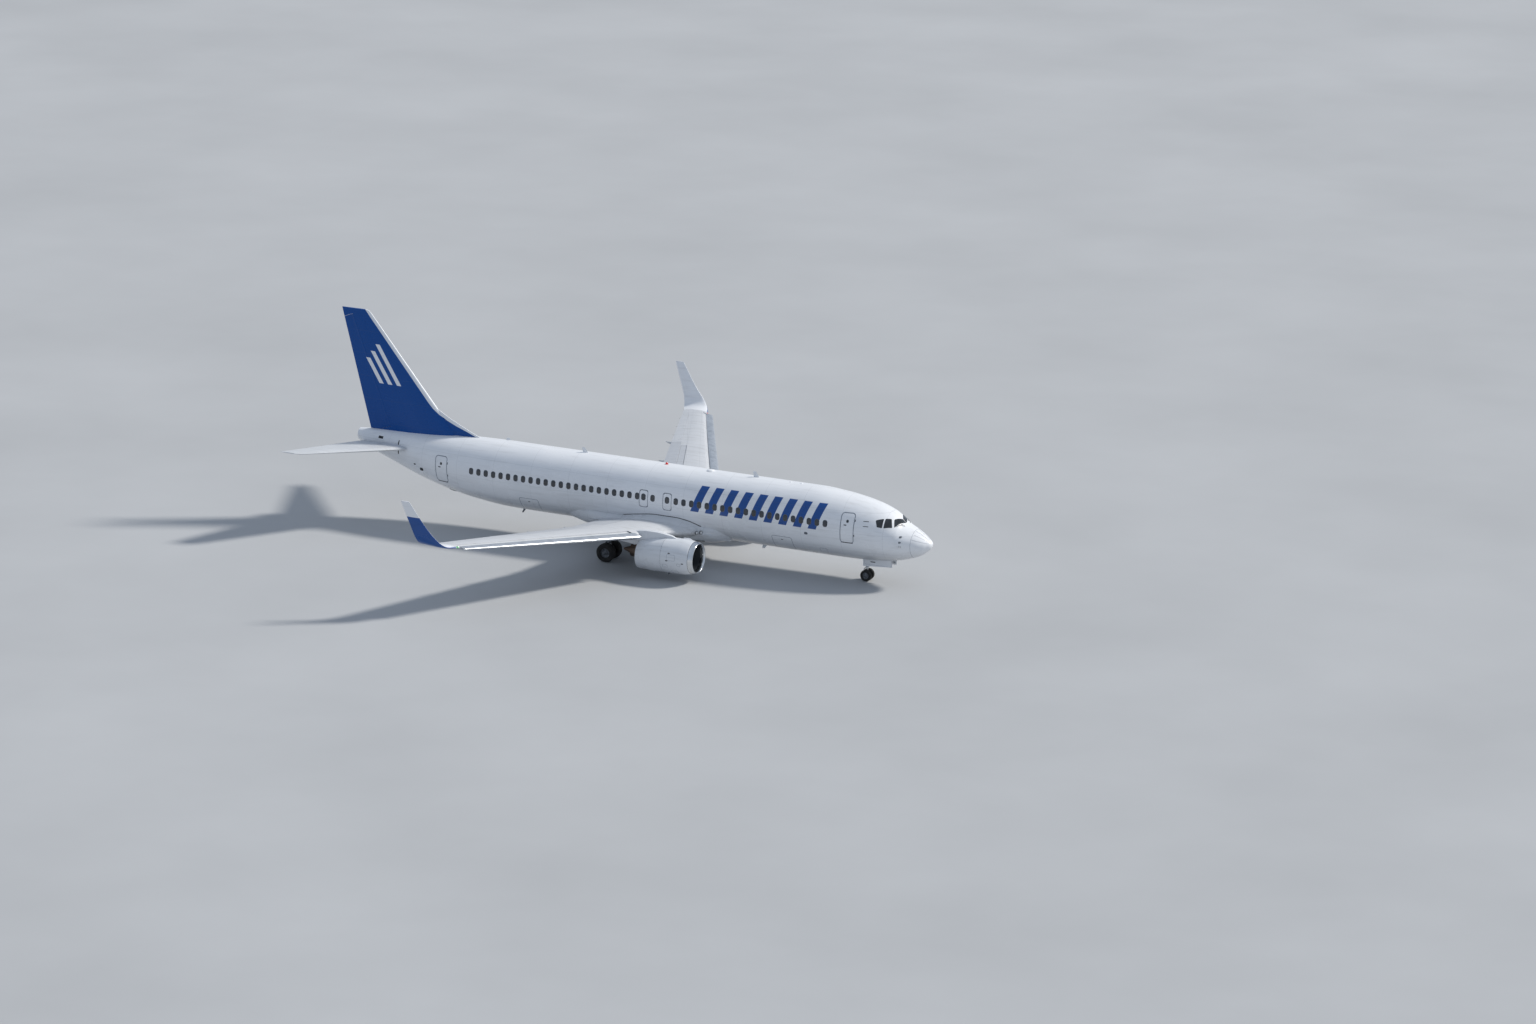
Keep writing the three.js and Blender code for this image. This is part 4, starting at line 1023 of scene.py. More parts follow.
# Belly fairing: station, keel height, half width, height of the widest point
fairingRows = [
    (12.5, 1.56, 1.18, 2.15),
    (13.6, 1.33, 1.7, 2.12),
    (15.2, 1.23, 1.96, 2.1),
    (19.8, 1.23, 1.98, 2.1),
    (21.4, 1.33, 1.8, 2.15),
    (23.0, 1.56, 1.3, 2.25),
]
fairing = {"rise": 0.62, "square": 0.8, "around": 88, "rings": 70, "crease": 40}


def fairingPoint(station, angle, lift=0.0):
    _, keel, half, waist = smoothAt(fairingRows, station)
    c, s = [copysign(abs(v) ** fairing["square"], v) for v in (cos(angle), sin(angle))]
    rise = fairing["rise"] if s > 0 else waist - keel
    return seated(xAt(station), (half + lift) * c, waist + (rise + lift) * s)


def fairingPlace(station, degrees):
    # a patch on the fairing; degrees run up from the left side
    angle = radians(degrees)

    def place(u, v, lift):
        half = smoothAt(fairingRows, station)[2]
        return fairingPoint(station + u, angle + v / half, lift)
    return place


def bellyFairing():
    def ring(station):
        return [fairingPoint(station, 2 * pi * i / fairing["around"]) for i in range(fairing["around"])]
    first, last = fairingRows[0][0], fairingRows[-1][0]
    skin = loft("belly_fairing_skin", [ring(mix(first, last, k / fairing["rings"]))
                                       for k in range(fairing["rings"] + 1)])
    carve(skin, wellCutters("fairing"), fairing["crease"])
    settle(skin, fairingTrim, "belly_fairing")


bellyFairing()

# name, station, angle in degrees, half length, half width
airScoops = [("pack_inlet", 14.25, -34, 0.3, 0.13), ("pack_exit", 17.35, -64, 0.3, 0.17)]
scoop = {"corner": 0.03, "louvres": 5, "louvreHalf": 0.012, "rim": 0.02, "rimLift": 0.006}
fairingPanels = [(15.35, -50, 0.42, 0.24), (16.4, -40, 0.3, 0.2), (20.9, -48, 0.34, 0.2),
                 (18.0, -28, 0.24, 0.16)]


def fairingDetails():
    for hand, side in sides:
        for name, station, degrees, long, wide in airScoops:
            place = fairingPlace(station, degrees if side > 0 else 180 - degrees)
            # the mouth is a dark plate: painted shade inside the opening, under the louvres
            mouth = plate(f"{name}_{hand}", place, long, wide, scoop["corner"], flushFace, -0.006, step=0.1)
            settle(mouth, darkTrim)
            louvres = []
            for k in range(scoop["louvres"]):
                off = mix(-long, long, (k + 0.5) / scoop["louvres"])
                louvres.append(plate("louvre", lambda u, v, lift, off=off: place(u + off, v, lift),
                                     scoop["louvreHalf"], wide * 0.96, 0.01, [(1, 0.012), (0.9, 0.014)],
                                     steps=3, step=0.1))
            settle(gather(f"{name}_louvres_{hand}", louvres), greyTrim)
            rim = band(f"{name}_rim_{hand}", place, long, wide, scoop["corner"], scoop["rim"],
                       scoop["rimLift"])
            settle(rim, fairingTrim)
        for k, (station, degrees, long, wide) in enumerate(fairingPanels):
            place = fairingPlace(station, degrees if side > 0 else 180 - degrees)
            settle(band(f"fairing_panel_{k}_{hand}", place, long, wide, 0.05, 0.01, 0.002), outlineTrim)


fairingDetails()
print("belly fairing made")

# Engines: distance aft of the lip and radius
lipProfile = [(0.3, 0.985), (0.22, 0.972), (0.14, 0.955), (0.08, 0.937), (0.04, 0.921), (0.015, 0.905),
              (0.002, 0.889), (0.0, 0.88), (0.004, 0.867), (0.02, 0.849), (0.05, 0.832), (0.1, 0.817),
              (0.18, 0.806), (0.3, 0.8)]
cowlOuter = [(0.308, 0.987), (0.6, 1.022), (0.9, 1.045), (2.046, 1.045)]
cowlInner = [(0.3, 0.8), (1.3, 0.788), (1.8, 0.868), (2.05, 0.868)]
sleeveOuter = [(2.054, 1.045), (2.75, 1.005), (3.3, 0.925), (3.77, 0.87)]
sleeveInner = [(2.05, 0.868), (2.75, 0.872), (3.77, 0.854)]
coreOuter = [(1.3, 0.42), (1.5, 0.59), (2.7, 0.6), (4.35, 0.372)]
coreTail = [(4.35, 0.36), (4.2, 0.352), (4.0, 0.35), (4.0, 0.285), (4.2, 0.262), (4.4, 0.222),
            (4.6, 0.165), (4.75, 0.11), (4.86, 0.06), (4.9, 0.035), (4.9, 0.0)]
spinner = [(0.756, 0.0), (0.76, 0.012), (0.775, 0.03), (0.82, 0.075), (0.9, 0.138), (0.985, 0.193),
           (1.06, 0.235), (1.118, 0.262), (1.14, 0.262), (1.14, 0.0)]
lipSeam = [(0.296, 0.978), (0.296, 0.9865), (0.312, 0.9885), (0.312, 0.978)]
sleeveJoint = [(2.04, 1.036), (2.04, 1.0465), (2.047, 1.0465), (2.047, 1.036)]
# the pylon's cut in the sleeve: ends aft of the lip, low edge over the engine's axis
pylonSlot = {"half": 0.177, "aft": 3.9, "front": 1.9, "low": 0.6, "top": 3.0}
vane = {"count": 36, "radii": (0.575, 0.66, 0.74, 0.815), "along": 1.6, "lean": 0.25,
        "section": ((-0.09, 0), (-0.03, 0.012), (0.04, 0.012), (0.09, 0.0), (0.04, -0.004),
                    (-0.03, -0.004))}


def engineSpot(side, h, r, a, droops=False):
    z = r * sin(a)
    if z < 0 and h < engine["flatEnd"]:
        z *= 1 - engine["flat"] * (1 - h / engine["flatEnd"])
    if droops:
        z -= engine["droop"] * min(1.1, max(0, (h - engine["droopFrom"]) / engine["droopOver"]))
    return Vector((xAt(engine["lip"] + h), side * engine["y"] + r * cos(a), engine["z"] + z))


def sampled(table, steps):
    first, last = table[0][0], table[-1][0]
    return [tuple(smoothAt(table, mix(first, last, k / steps))) for k in range(steps + 1)]


def buildEngine(name, side):
    n = engine["segments"]
    spot = lambda h, r, a: engineSpot(side, h, r, a)
    drooped = lambda h, r, a: engineSpot(side, h, r, a, True)
    lip = turned(f"intake_lip_{name}", lipProfile + [(0.3, 0.815)], spot, n, 50)
    settle(lip, (polished, "bright_metal"), f"inlet_lip_{name}")
    profile = sampled(cowlOuter, 16) + [(2.05, 1.04)] + sampled(cowlInner, 16)[::-1] + [(0.3, 0.98)]
    settle(turned(f"fan_cowl_skin_{name}", profile, spot, n, 40), nacelleTrim, f"fan_cowl_{name}")
    profile = sampled(sleeveOuter, 16) + sampled(sleeveInner, 12)[::-1]
    sleeve = turned(f"sleeve_skin_{name}", profile, drooped, n, 40)
    s, y = pylonSlot, side * engine["y"]
    room = boxAt("slot_room", [xAt(engine["lip"] + s[end]) for end in ("aft", "front")],
                 (y - s["half"], y + s["half"]), (engine["z"] + s["low"], s["top"]))
    carve(sleeve, [room], 40)
    settle(sleeve, nacelleTrim, f"reverser_sleeve_{name}", body=f"reverser_sleeve_{name}")
    profile = [(1.3, 0.0)] + sampled(coreOuter, 18) + coreTail
    core = turned(f"core_cowl_{name}", profile, spot, 64, 30, closed=False)
    settle(core, (hotMetal, "hot_metal"), f"engine_core_{name}")
    vanes = [guideVane(side, 2 * pi * (k + 0.5) / vane["count"]) for k in range(vane["count"])]
    settle(gather(f"guide_vanes_{name}", vanes), (fanMetal, "dark_glass"))
    settle(fanRotor(name, side), (fanMetal, "dark_glass"), f"fan_{name}", body=f"fan_{name}")
    cone = turned(f"spinner_{name}", spinner, spot, 48, 30, closed=False)
    settle(cone, (trimPaint, "dark_glass"), body=f"fan_{name}")
    settle(turned(f"cowl_seam_{name}", lipSeam, spot, n, 60), darkTrim)
    settle(turned(f"cowl_joint_{name}", sleeveJoint, spot, n, 60), greyTrim)


def guideVane(side, turn):
    rings = []
    for r in vane["radii"]:
        rings.append([engineSpot(side, vane["along"] + u, r, turn + (v + u * vane["lean"]) / r)
                      for u, v in vane["section"]])
    return loft("vane", rings, 50)


fan = {"blades": 24, "hub": 0.265, "tip": 0.77, "root": 0.03, "sections": 7, "stagger": (28, 62),
       "chord": (0.2, 0.26), "thick": (0.026, 0.01), "bow": 0.03, "along": 1.21, "squash": 0.72,
       "section": ((-0.5, 0), (-0.3, 0.42), (0, 0.5), (0.3, 0.35), (0.5, 0), (0.3, -0.2), (0, -0.3),
                   (-0.3, -0.3))}
fanHub = [(1.13, 0.0), (1.13, 0.262), (1.18, 0.265), (1.29, 0.265), (1.29, 0.14), (1.3, 0.14), (1.3, 0.1),
          (1.4, 0.1), (1.4, 0.0)]


def fanRotor(name, side):
    pieces = [turned("hub", fanHub, lambda h, r, a: engineSpot(side, h, r, a), 36, 40, closed=False)]
    for k in range(fan["blades"]):
        turn = 2 * pi * k / fan["blades"]
        rings = []
        for j in range(fan["sections"]):
            share = j / (fan["sections"] - 1)
            r = mix(fan["hub"] - fan["root"], fan["tip"], share)
            stagger = radians(mix(*fan["stagger"], share ** 0.8))
            chord, thick = mix(*fan["chord"], sin(share * 2.2)), mix(*fan["thick"], share)
            ring = []
            for u, v in fan["section"]:
                along, off = u * chord, v * thick + fan["bow"] * sin(share * pi) * (0.25 - u * u)
                h = along * cos(stagger) - off * sin(stagger)
                a = turn + (along * sin(stagger) + off * cos(stagger)) / r
                ring.append(Vector((xAt(engine["lip"] + fan["along"] + h * fan["squash"]),
                                    side * engine["y"] + r * cos(a), engine["z"] + r * sin(a))))
            rings.append(ring)
        pieces.append(loft("blade", rings, 40))
    return gather(f"fan_blades_{name}", pieces)


for hand, side in sides:
    buildEngine(hand, side)
print("engines made")

# Wheels and tyres
mainGear = {"station": 19.6, "track": 5.72, "spacing": 0.864, "radius": 0.565, "wide": 0.41, "rim": 0.29,
            "axle": 0.07, "eye": 0.115}
noseGear = {"station": 4.12, "spacing": 0.4, "radius": 0.343, "wide": 0.197, "rim": 0.19, "axle": 0.042,
            "eye": 0.062}
tread = {"steps": 40, "half": 0.86, "grooves": (-0.62, -0.22, 0.22, 0.62), "grooveHalf": 0.03,
         "grooveDeep": 0.009, "shoulder": 0.016}
# share of the half width, and share of the height between rim and tread
sidewall = [(0.74, 0), (0.84, 0.03), (0.93, 0.14), (1, 0.45), (0.985, 0.66), (0.94, 0.84)]
wheelBolts = {"count": 10, "ring": 0.73, "thick": 0.045}


def wheelSpot(x, y, z):
    return lambda h, r, a: Vector((x + r * cos(a), y + h, z + r * sin(a)))


def makeTyre(name, x, y, size):
    radius, rim, w = size["radius"], size["rim"], size["wide"] / 2
    crown = []
    for k in range(tread["steps"] + 1):
        v = mix(-tread["half"], tread["half"], k / tread["steps"])
        drop = tread["shoulder"] * abs(v) ** 3 * (radius / mainGear["radius"])
        nearest = min(abs(v - g) for g in tread["grooves"])
        groove = tread["grooveDeep"] if nearest < tread["grooveHalf"] else 0
        crown.append((v * w, radius - drop - groove))
    sideUp = [(-w * across, rim + up * (radius - rim)) for across, up in sidewall]
    profile = sideUp + crown + [(-h, r) for h, r in reversed(sideUp)]
    profile += [(w * 0.55, rim + 0.004), (-w * 0.55, rim + 0.004)]
    return turned(name, profile, wheelSpot(x, y, radius), 96, 32)


def makeWheels(name, x, y, size):
    # two wheels and the axle between them, as one turned piece with its bolts
    c, w, rim = size["spacing"] / 2, size["wide"] * 0.3, size["rim"]
    eye, foot = size["eye"] + 0.0005, size["axle"] + 0.028
    half = [(eye, size["axle"]), (eye, foot), (c - w - 0.02, foot), (c - w - 0.02, rim - 0.01),
            (c - w - 0.02, rim + 0.012), (c - w - 0.012, rim + 0.014),
            (c - w, rim - 0.002), (c + w, rim - 0.002),
            (c + w + 0.006, rim + 0.014), (c + w + 0.014, rim + 0.012), (c + w + 0.012, rim - 0.012),
            (c + w * 0.55, rim * 0.86), (c + w * 0.42, rim * 0.62), (c + w * 0.62, rim * 0.42),
            (c + w * 0.9, rim * 0.36), (c + w * 0.98, rim * 0.3), (c + w, 0.0)]
    profile = [(-h, r) for h, r in reversed(half)] + half
    pieces = [turned("wheel", profile, wheelSpot(x, y, size["radius"]), 96, 32, closed=False)]
    b = wheelBolts
    for way in (-1, 1):
        face = y + way * (c + w * 0.42)
        for k in range(b["count"]):
            a = 2 * pi * k / b["count"]
            spot = Vector((x + rim * b["ring"] * cos(a), face + way * 0.012,
                           size["radius"] + rim * b["ring"] * sin(a)))
            ends = [spot - Vector((0, way * 0.03, 0)), spot, spot + Vector((0, way * 0.012, 0))]
            pieces.append(tube("bolt", ends, rim * b["thick"], 6, 0.8))
    return gather(name, pieces)


def buildWheels():
    x, size = xAt(mainGear["station"]), mainGear
    for hand, side in sides:
        y, body = side * size["track"] / 2, f"main_wheel_pair_{hand}"
        wheels = makeWheels(f"main_wheel_set_{hand}", x, y, size)
        settle(wheels, (hubMetal, "gear_paint"), f"main_wheels_{hand}", body=body)
        for which, way in (("inner", -1), ("outer", 1)):
            across = y + side * way * size["spacing"] / 2
            tyre = makeTyre(f"main_tyre_{which}_rubber_{hand}", x, across, size)
            settle(tyre, (tyreRubber, "tyre"), f"main_tyre_{which}_{hand}", body=body)
    x, size = xAt(noseGear["station"]), noseGear
    body = "nose_wheel_pair"
    settle(makeWheels("nose_wheel_set", x, 0, size), (hubMetal, "gear_paint"), "nose_wheels", body=body)
    for hand, side in sides:
        tyre = makeTyre(f"nose_tyre_rubber_{hand}", x, side * size["spacing"] / 2, size)
        settle(tyre, (tyreRubber, "tyre"), f"nose_tyre_{hand}", body=body)


buildWheels()
print("wheels made")


# Wings: Y, leading edge, trailing edge, height, thickness over chord
wingRows = [
    (0.9, 13.33, 20.43, 2.05, 0.135),
    (1.88, 14.15, 20.45, 2.16, 0.13),
    (3.9, 15.838, 20.56, 2.4, 0.125),
    (5.7, 16.774, 20.65, 2.62, 0.12),
    (16.6, 22.442, 24.123, 3.98, 0.106),
]
wingCamber = 0.016


def thicknessAt(t):
    return 5 * (0.2969 * sqrt(max(t, 0)) - 0.126 * t - 0.3516 * t ** 2 + 0.2843 * t ** 3 - 0.1036 * t ** 4)


def wingSpot(side, y, t, face=0, lift=0.0, ahead=0.0, slim=1.0):
    # on the wing at a share of its chord: face 1 is the upper skin, -1 the lower, 0 the middle
    i = rowAfter(wingRows, y)
    ends = []
    for _, lead, trail, z, thickness in wingRows[i - 1:i + 1]:
        chord = trail - lead - ahead
        rise = (wingCamber * sin(pi * t) + face * (thickness * slim * thicknessAt(t) + 0.003 * t)) * chord
        ends.append((xAt(lead + ahead + t * chord), z + rise))
    share = (y - wingRows[i - 1][0]) / (wingRows[i][0] - wingRows[i - 1][0])
    return seated(mix(ends[0][0], ends[1][0], share), side * y,
                  mix(ends[0][1], ends[1][1], share) + lift * (face or 1))


def wingTopAt(y, station):
    _, lead, trail, z, thickness = rowAt(wingRows, y)
    chord = trail - lead
    t = (station - lead) / chord
    if not 0 < t < 1:
        return None
    return z + (wingCamber * sin(pi * t) + thickness * thicknessAt(t) + 0.003 * t) * chord


slat = {"y0": 5.45, "y1": 16.35, "backs": (0.114, 0.2), "outs": (0.43, 0.33), "drop": 0.06, "ahead": 0.15,
        "slim": 0.84, "panels": 4, "gap": 0.012, "lip": 0.045, "tracks": (5.9, 8.3, 10.7, 13.1, 15.7),
        "trackBack": 0.32, "trackFront": 0.05, "trackHalf": 0.025, "trackLow": 0.065, "trackTop": 0.02,
        "bayLift": 0.02}
wingBox = {"root": 1.95, "tip": 16.6, "upperEnd": 0.588, "lowerEnd": 0.735, "lift": 0.002, "plate": 0.012,
           "upperPoints": 20, "lowerPoints": 22, "nosePoints": 14, "gap": 0.002,
           "breaks": (3.9, 5.7, 8.0, 10.5, 13.0)}


def slatShare(y):
    return held((y - slat["y0"]) / (slat["y1"] - slat["y0"]))


def slatBack(y):
    return mix(*slat["backs"], slatShare(y))


def spread(first, last, steps):
    # shares of a chord, closer together towards the nose
    a, b = sqrt(first), sqrt(last)
    return [mix(a, b, k / steps) ** 2 for k in range(steps + 1)]


def wingSkins(name, side):
    # smooth skins over the wing box and its fixed noses
    w = wingBox

    def box(y):
        front = slatBack(y)
        upper = [wingSpot(side, y, t, 1, w["lift"])
                 for t in reversed(spread(front, w["upperEnd"], w["upperPoints"]))]
        lower = [wingSpot(side, y, t, -1, w["lift"])
                 for t in spread(front, w["lowerEnd"], w["lowerPoints"])]
        return upper + lower + [wingSpot(side, y, w[end], -1, -w["plate"])
                                for end in ("lowerEnd", "upperEnd")]

    def nose(y, end, ahead=0.0, slim=1.0):
        shares = spread(0, end, w["nosePoints"])
        upper = [wingSpot(side, y, t, 1, w["lift"], ahead, slim) for t in reversed(shares)]
        return upper + [wingSpot(side, y, t, -1, w["lift"], ahead, slim) for t in shares[1:]]

    def rows(first, last):
        return [y for y in (first, *w["breaks"], last) if first <= y <= last]

    full = slat["backs"][0] + 0.006
    parts = {
        "box": [box(y) for y in rows(w["root"], w["tip"])],
        "inner_nose": [nose(y, full) for y in rows(w["root"], slat["y0"])],
        "outer_nose": [nose(y, slatBack(y) + 0.004, slat["ahead"], slat["slim"])
                       for y in rows(slat["y0"] + w["gap"], slat["y1"] - w["gap"])],
        "tip_nose": [nose(y, slat["backs"][1] + 0.01)
                     for y in (slat["y1"] + w["gap"], w["tip"] - w["gap"])],
    }
    for which, rings in parts.items():
        settle(loft(f"wing_{which}_skin_{name}", rings, 30), wingTrim)


def slatPanels(name, side):
    s = slat

    def moved(y, t, face, lift=0.0, ahead=0.0, slim=1.0):
        out = Vector((mix(*s["outs"], slatShare(y)), 0, -s["drop"]))
        return wingSpot(side, y, t, face, lift, ahead, slim) + out

    def ring(y):
        back = slatBack(y) - 0.004
        outer = [moved(y, t, 1) for t in reversed(spread(0, back, 16))]
        under = [moved(y, t, -1) for t in spread(0, s["lip"], 6)[1:]]
        return outer + under + [moved(y, t, 1, s["bayLift"], s["ahead"], s["slim"])
                                for t in spread(0, back, 12)]

    pieces = []
    for k in range(s["panels"]):
        ends = [mix(s["y0"], s["y1"], (k + e) / s["panels"]) for e in (0, 1)]
        y0, y1 = ends[0] + s["gap"] * (k > 0), ends[1] - s["gap"] * (k < s["panels"] - 1)
        kink = wingRows[3][0]
        pieces.append(loft("panel", [ring(y) for y in (y0, *([kink] if y0 < kink < y1 else []), y1)], 30))
    for y in s["tracks"]:
        root, out = wingSpot(side, y, 0), mix(*s["outs"], slatShare(y))
        pieces.append(boxAt("track", (root.x - s["trackBack"], root.x + out - s["trackFront"]),
                            (side * y - s["trackHalf"], side * y + s["trackHalf"]),
                            (root.z - s["trackLow"], root.z - s["trackTop"])))
    settle(gather(f"slat_panels_{name}", pieces, 30), (slatMetal, "bright_metal"), f"slats_{name}")


# Winglet: length along it, Y, height over the wing tip, leading edge, chord, lean from level in degrees
wingletRows = [
    (0.0, 16.605, 0.0, 22.442, 1.681, 0),
    (0.3, 16.9, 0.045, 22.6, 1.65, 10),
    (0.62, 17.2, 0.15, 22.78, 1.6, 28),
    (0.93, 17.43, 0.35, 22.98, 1.5, 50),
    (1.27, 17.57, 0.65, 23.25, 1.33, 68),
    (1.93, 17.69, 1.3, 23.8, 1.0, 78),
    (3.38, 17.894, 2.74, 24.76, 0.54, 82),
]


winglet = {"rings": 40, "points": 18, "thick": (0.106, 0.09), "slimFrom": 45, "slimOver": 25,
           "inset": 0.0452, "insetFrom": 1.3, "edge": 0.004}


def wingletSkin(name, side):
    w, rings = winglet, []
    foot, long = wingRows[-1][3], wingletRows[-1][0]
    shares = spread(0, 1, w["points"])
    for k in range(w["rings"] + 1):
        s, y, up, lead, chord, lean = smoothAt(wingletRows, long * k / w["rings"])
        a = radians(lean)
        inset = w["inset"] * chord * sin(a) * held((s - w["insetFrom"]) / (long - w["insetFrom"]))
        thick = mix(*w["thick"], held((lean - w["slimFrom"]) / w["slimOver"]))
        ring = []
        for face, ts in ((1, shares[::-1]), (-1, shares[1:])):
            for t in ts:
                half = thick * thicknessAt(t) + w["edge"] * t
                rise = (wingCamber * cos(a) * sin(pi * t) + face * half) * chord
                ring.append(seated(xAt(lead + t * chord), side * (y - inset - rise * sin(a)),
                                   foot + up + rise * cos(a)))
        rings.append(ring)
    settle(loft(f"winglet_skin_{name}", rings, 40), (wingletPaint, "blue_paint"), f"winglet_{name}")


for hand, side in sides:
    wingSkins(hand, side)
    slatPanels(hand, side)
    wingletSkin(hand, side)
print("wing skins made")

# Fin front: height, leading edge, trailing edge, thickness
finRows = [
    (5.3, 31.294, 37.308, 0.546),
    (7.4, 33.037, 37.842, 0.45),
    (9.8, 35.03, 38.452, 0.33),
    (12.2, 37.022, 39.063, 0.19),
    (12.4, 37.2, 39.114, 0.145),
    (12.47, 37.3, 39.131, 0.13),
    (12.502, 37.42, 39.139, 0.12),
]
finFront = {"share": 0.45, "points": 20, "flare": 0.0025, "lift": 0.002, "fade": 0.25, "sink": 0.004,
            "plate": 0.6}


def finFrontSkin():
    # the rounded leading edge of the fin; its sides sink into the solid behind the thickest place
    f = finFront
    rings = []
    for z, lead, trail, thickness in finRows:
        chord = trail - lead
        shares = spread(0, f["share"], f["points"])

        def at(t, way, inwards=1.0):
            lift = mix(f["lift"], -f["sink"], held((t - f["fade"]) / (f["share"] - f["fade"])))
            half = thickness * thicknessAt(t) + f["flare"] * t * chord + lift
            return seated(xAt(lead + t * chord), way * half * inwards, z)

        ring = [at(t, 1) for t in reversed(shares)] + [at(t, -1) for t in shares[1:]]
        rings.append(ring + [at(shares[-1], way, f["plate"]) for way in (-1, 1)])
    settle(loft("fin_front_skin", rings, 40), finTrim)


finFrontSkin()
print("fin front made")

# Wing root fairings: station, height of the upper edge on the hull, Y and height of the outer edge
rootRows = [
    (12.6, 1.86, 1.05, 1.8),
    (13.1, 2.05, 1.46, 1.94),
    (13.5, 2.2, 1.76, 2.04),
    (13.9, 2.36, 1.95, 2.12),
    (14.4, 2.57, 2.13, 2.2),
    (15.0, 2.76, 2.36, 2.3),
    (15.8, 2.86, 2.5, 2.5),
    (17.0, 2.86, 2.55, 2.5),
    (18.2, 2.72, 2.5, 2.4),
    (19.2, 2.53, 2.4, 2.3),
    (20.1, 2.35, 2.22, 2.2),
    (20.9, 2.18, 2.0, 2.1),
    (21.8, 2.0, 1.66, 1.95),
]
root = {"steps": 12, "rings": 90, "sag": 0.62, "sink": 0.2, "tailSink": 0.05, "tailFrom": 18,
        "tailOver": 2, "lift": 0.012, "seal": 0.024, "tuck": (0.02, 0.08), "behind": 0.3}


def rootFairing(name, side):
    rings, edge = [], []
    for k in range(root["rings"] + 1):
        station = mix(rootRows[0][0], rootRows[-1][0], k / root["rings"])
        _, high, y, low = smoothAt(rootRows, station)
        top = wingTopAt(y, station)
        low = max(low, top) if top else low
        inner = onHull(station, high, side, root["lift"])
        outer = seated(xAt(station), side * y, low + root["lift"])
        straight = 1 - root["sag"]
        elbow = Vector((inner.x, mix(inner.y, outer.y, straight), mix(outer.z, inner.z, straight)))
        ring = []
        for i in range(root["steps"] + 1):
            t = i / root["steps"]
            ring.append(inner * (1 - t) ** 2 + elbow * 2 * t * (1 - t) + outer * t * t)
        sink = mix(root["sink"], root["tailSink"], held((station - root["tailFrom"]) / root["tailOver"]))
        a, b = root["tuck"]
        ring += [outer + Vector((0, -side * a, -sink * 0.5)), outer + Vector((0, -side * b, -sink))]
        back = side * root["behind"]
        ring += [Vector((inner.x, inner.y - back, outer.z - sink)), inner + Vector((0, -back, 0))]
        rings.append(ring)
        edge.append(inner)
    settle(loft(f"wing_root_fairing_{name}", rings, 40), fairingTrim)
    # the seal on the hull along the fairing's edge is a thick dark tube: partly the rubber seal, partly
    # painted shadow in the gap
    seal = tube(f"wing_root_seal_{name}", edge, root["seal"], 6)
    settle(seal, darkTrim)


for hand, side in sides:
    rootFairing(hand, side)
print("wing roots made")


# Small fittings

bladeSection = ((-0.5, 0), (-0.36, 0.32), (-0.1, 0.5), (0.2, 0.42), (0.5, 0.06), (0.5, -0.06),
                (0.2, -0.42), (-0.1, -0.5), (-0.36, -0.32))
aftward = Vector((-1, 0, 0))


def blade(name, foot, up, aft, tall, chord, tip, thick, sweep, sink=0.02):
    # a swept blade with a lens section, for antennas, drain masts, strakes and the tail skid
    up, aft = up.normalized(), aft.normalized()
    across = up.cross(aft)
    rings = []
    for share in (0, 0.34, 0.67, 0.93, 1):
        width = mix(chord, tip, share) * (0.86 if share == 1 else 1)
        waist = thick * mix(1, 0.6, share) * (0.4 if share == 1 else 1)
        rise = tall * share - (sink if share == 0 else 0)
        rings.append([foot + up * rise + aft * (sweep * share + u * width) + across * v * waist
                      for u, v in bladeSection])
    return loft(name, rings, 50)


def aroundAxis(foot, up):
    # the place of what is turned about a line through its foot
    up = up.normalized()
    one = up.orthogonal().normalized()
    two = up.cross(one)
    return lambda h, r, a: foot + up * h + (one * cos(a) + two * sin(a)) * r


def dome(name, foot, up, radius, tall, segments=32):
    # a low dome with a flange round its foot
    profile = [(-0.01, radius * 1.25), (0.006, radius * 1.25), (0.008, radius)]
    profile += [(0.008 + tall * sin(a), radius * cos(a)) for a in (0.3, 0.6, 0.9, 1.2, 1.45)]
    return turned(name, profile, aroundAxis(foot, up), segments, 40, closed=False)


def aftAt(station, angle):
    return (hullPoint(station + 0.05, angle) - hullPoint(station - 0.05, angle)).normalized()


# name, station, angle round the hull in degrees, height, chord, tip chord, thickness, sweep
hullBlades = [
    ("antenna_crown_front", 11.3, 90, 0.33, 0.36, 0.2, 0.05, 0.16),
    ("antenna_crown_rear", 22.6, 90, 0.3, 0.34, 0.19, 0.05, 0.15),
    ("antenna_crown_small", 28.0, 78, 0.14, 0.3, 0.2, 0.05, 0.05),
    ("antenna_keel_front", 10.7, -90, 0.28, 0.32, 0.18, 0.045, 0.14),
    ("antenna_keel_small_front", 8.0, -90, 0.1, 0.16, 0.1, 0.03, 0.04),
    ("antenna_keel_small_rear", 24.4, -90, 0.1, 0.16, 0.1, 0.03, 0.04),
    ("drain_mast_front", 11.7, -80, 0.26, 0.16, 0.1, 0.05, 0.14),
    ("drain_mast_rear", 26.6, -97, 0.26, 0.16, 0.1, 0.05, 0.14),
    ("tail_skid", 31.5, -90, 0.17, 0.95, 0.42, 0.13, 0.14),
]
# name, station, angle, radius, height, finish
hullDomes = [
    ("beacon_crown", 17.2, 90, 0.085, 0.11, "red"),
    ("beacon_keel", 13.1, -90, 0.075, 0.09, "red"),
    ("dish_crown_front", 8.4, 90, 0.07, 0.02, "white"),
    ("dish_crown_rear", 9.1, 90, 0.07, 0.02, "white"),
    ("finder_crown", 14.3, 90, 0.22, 0.06, "white"),
]


outlet = [(38.035, 0.2), (38.035, 0.175), (37.9, 0.165), (37.56, 0.16), (37.56, 0.0), (37.52, 0.0),
          (37.52, 0.199), (37.99, 0.199), (38.0, 0.215)]


def tailOutlet():
    settle(turned("tail_outlet_pipe", outlet, tailPlace(), 48), (hotMetal, "hot_metal"))


tailOutlet()


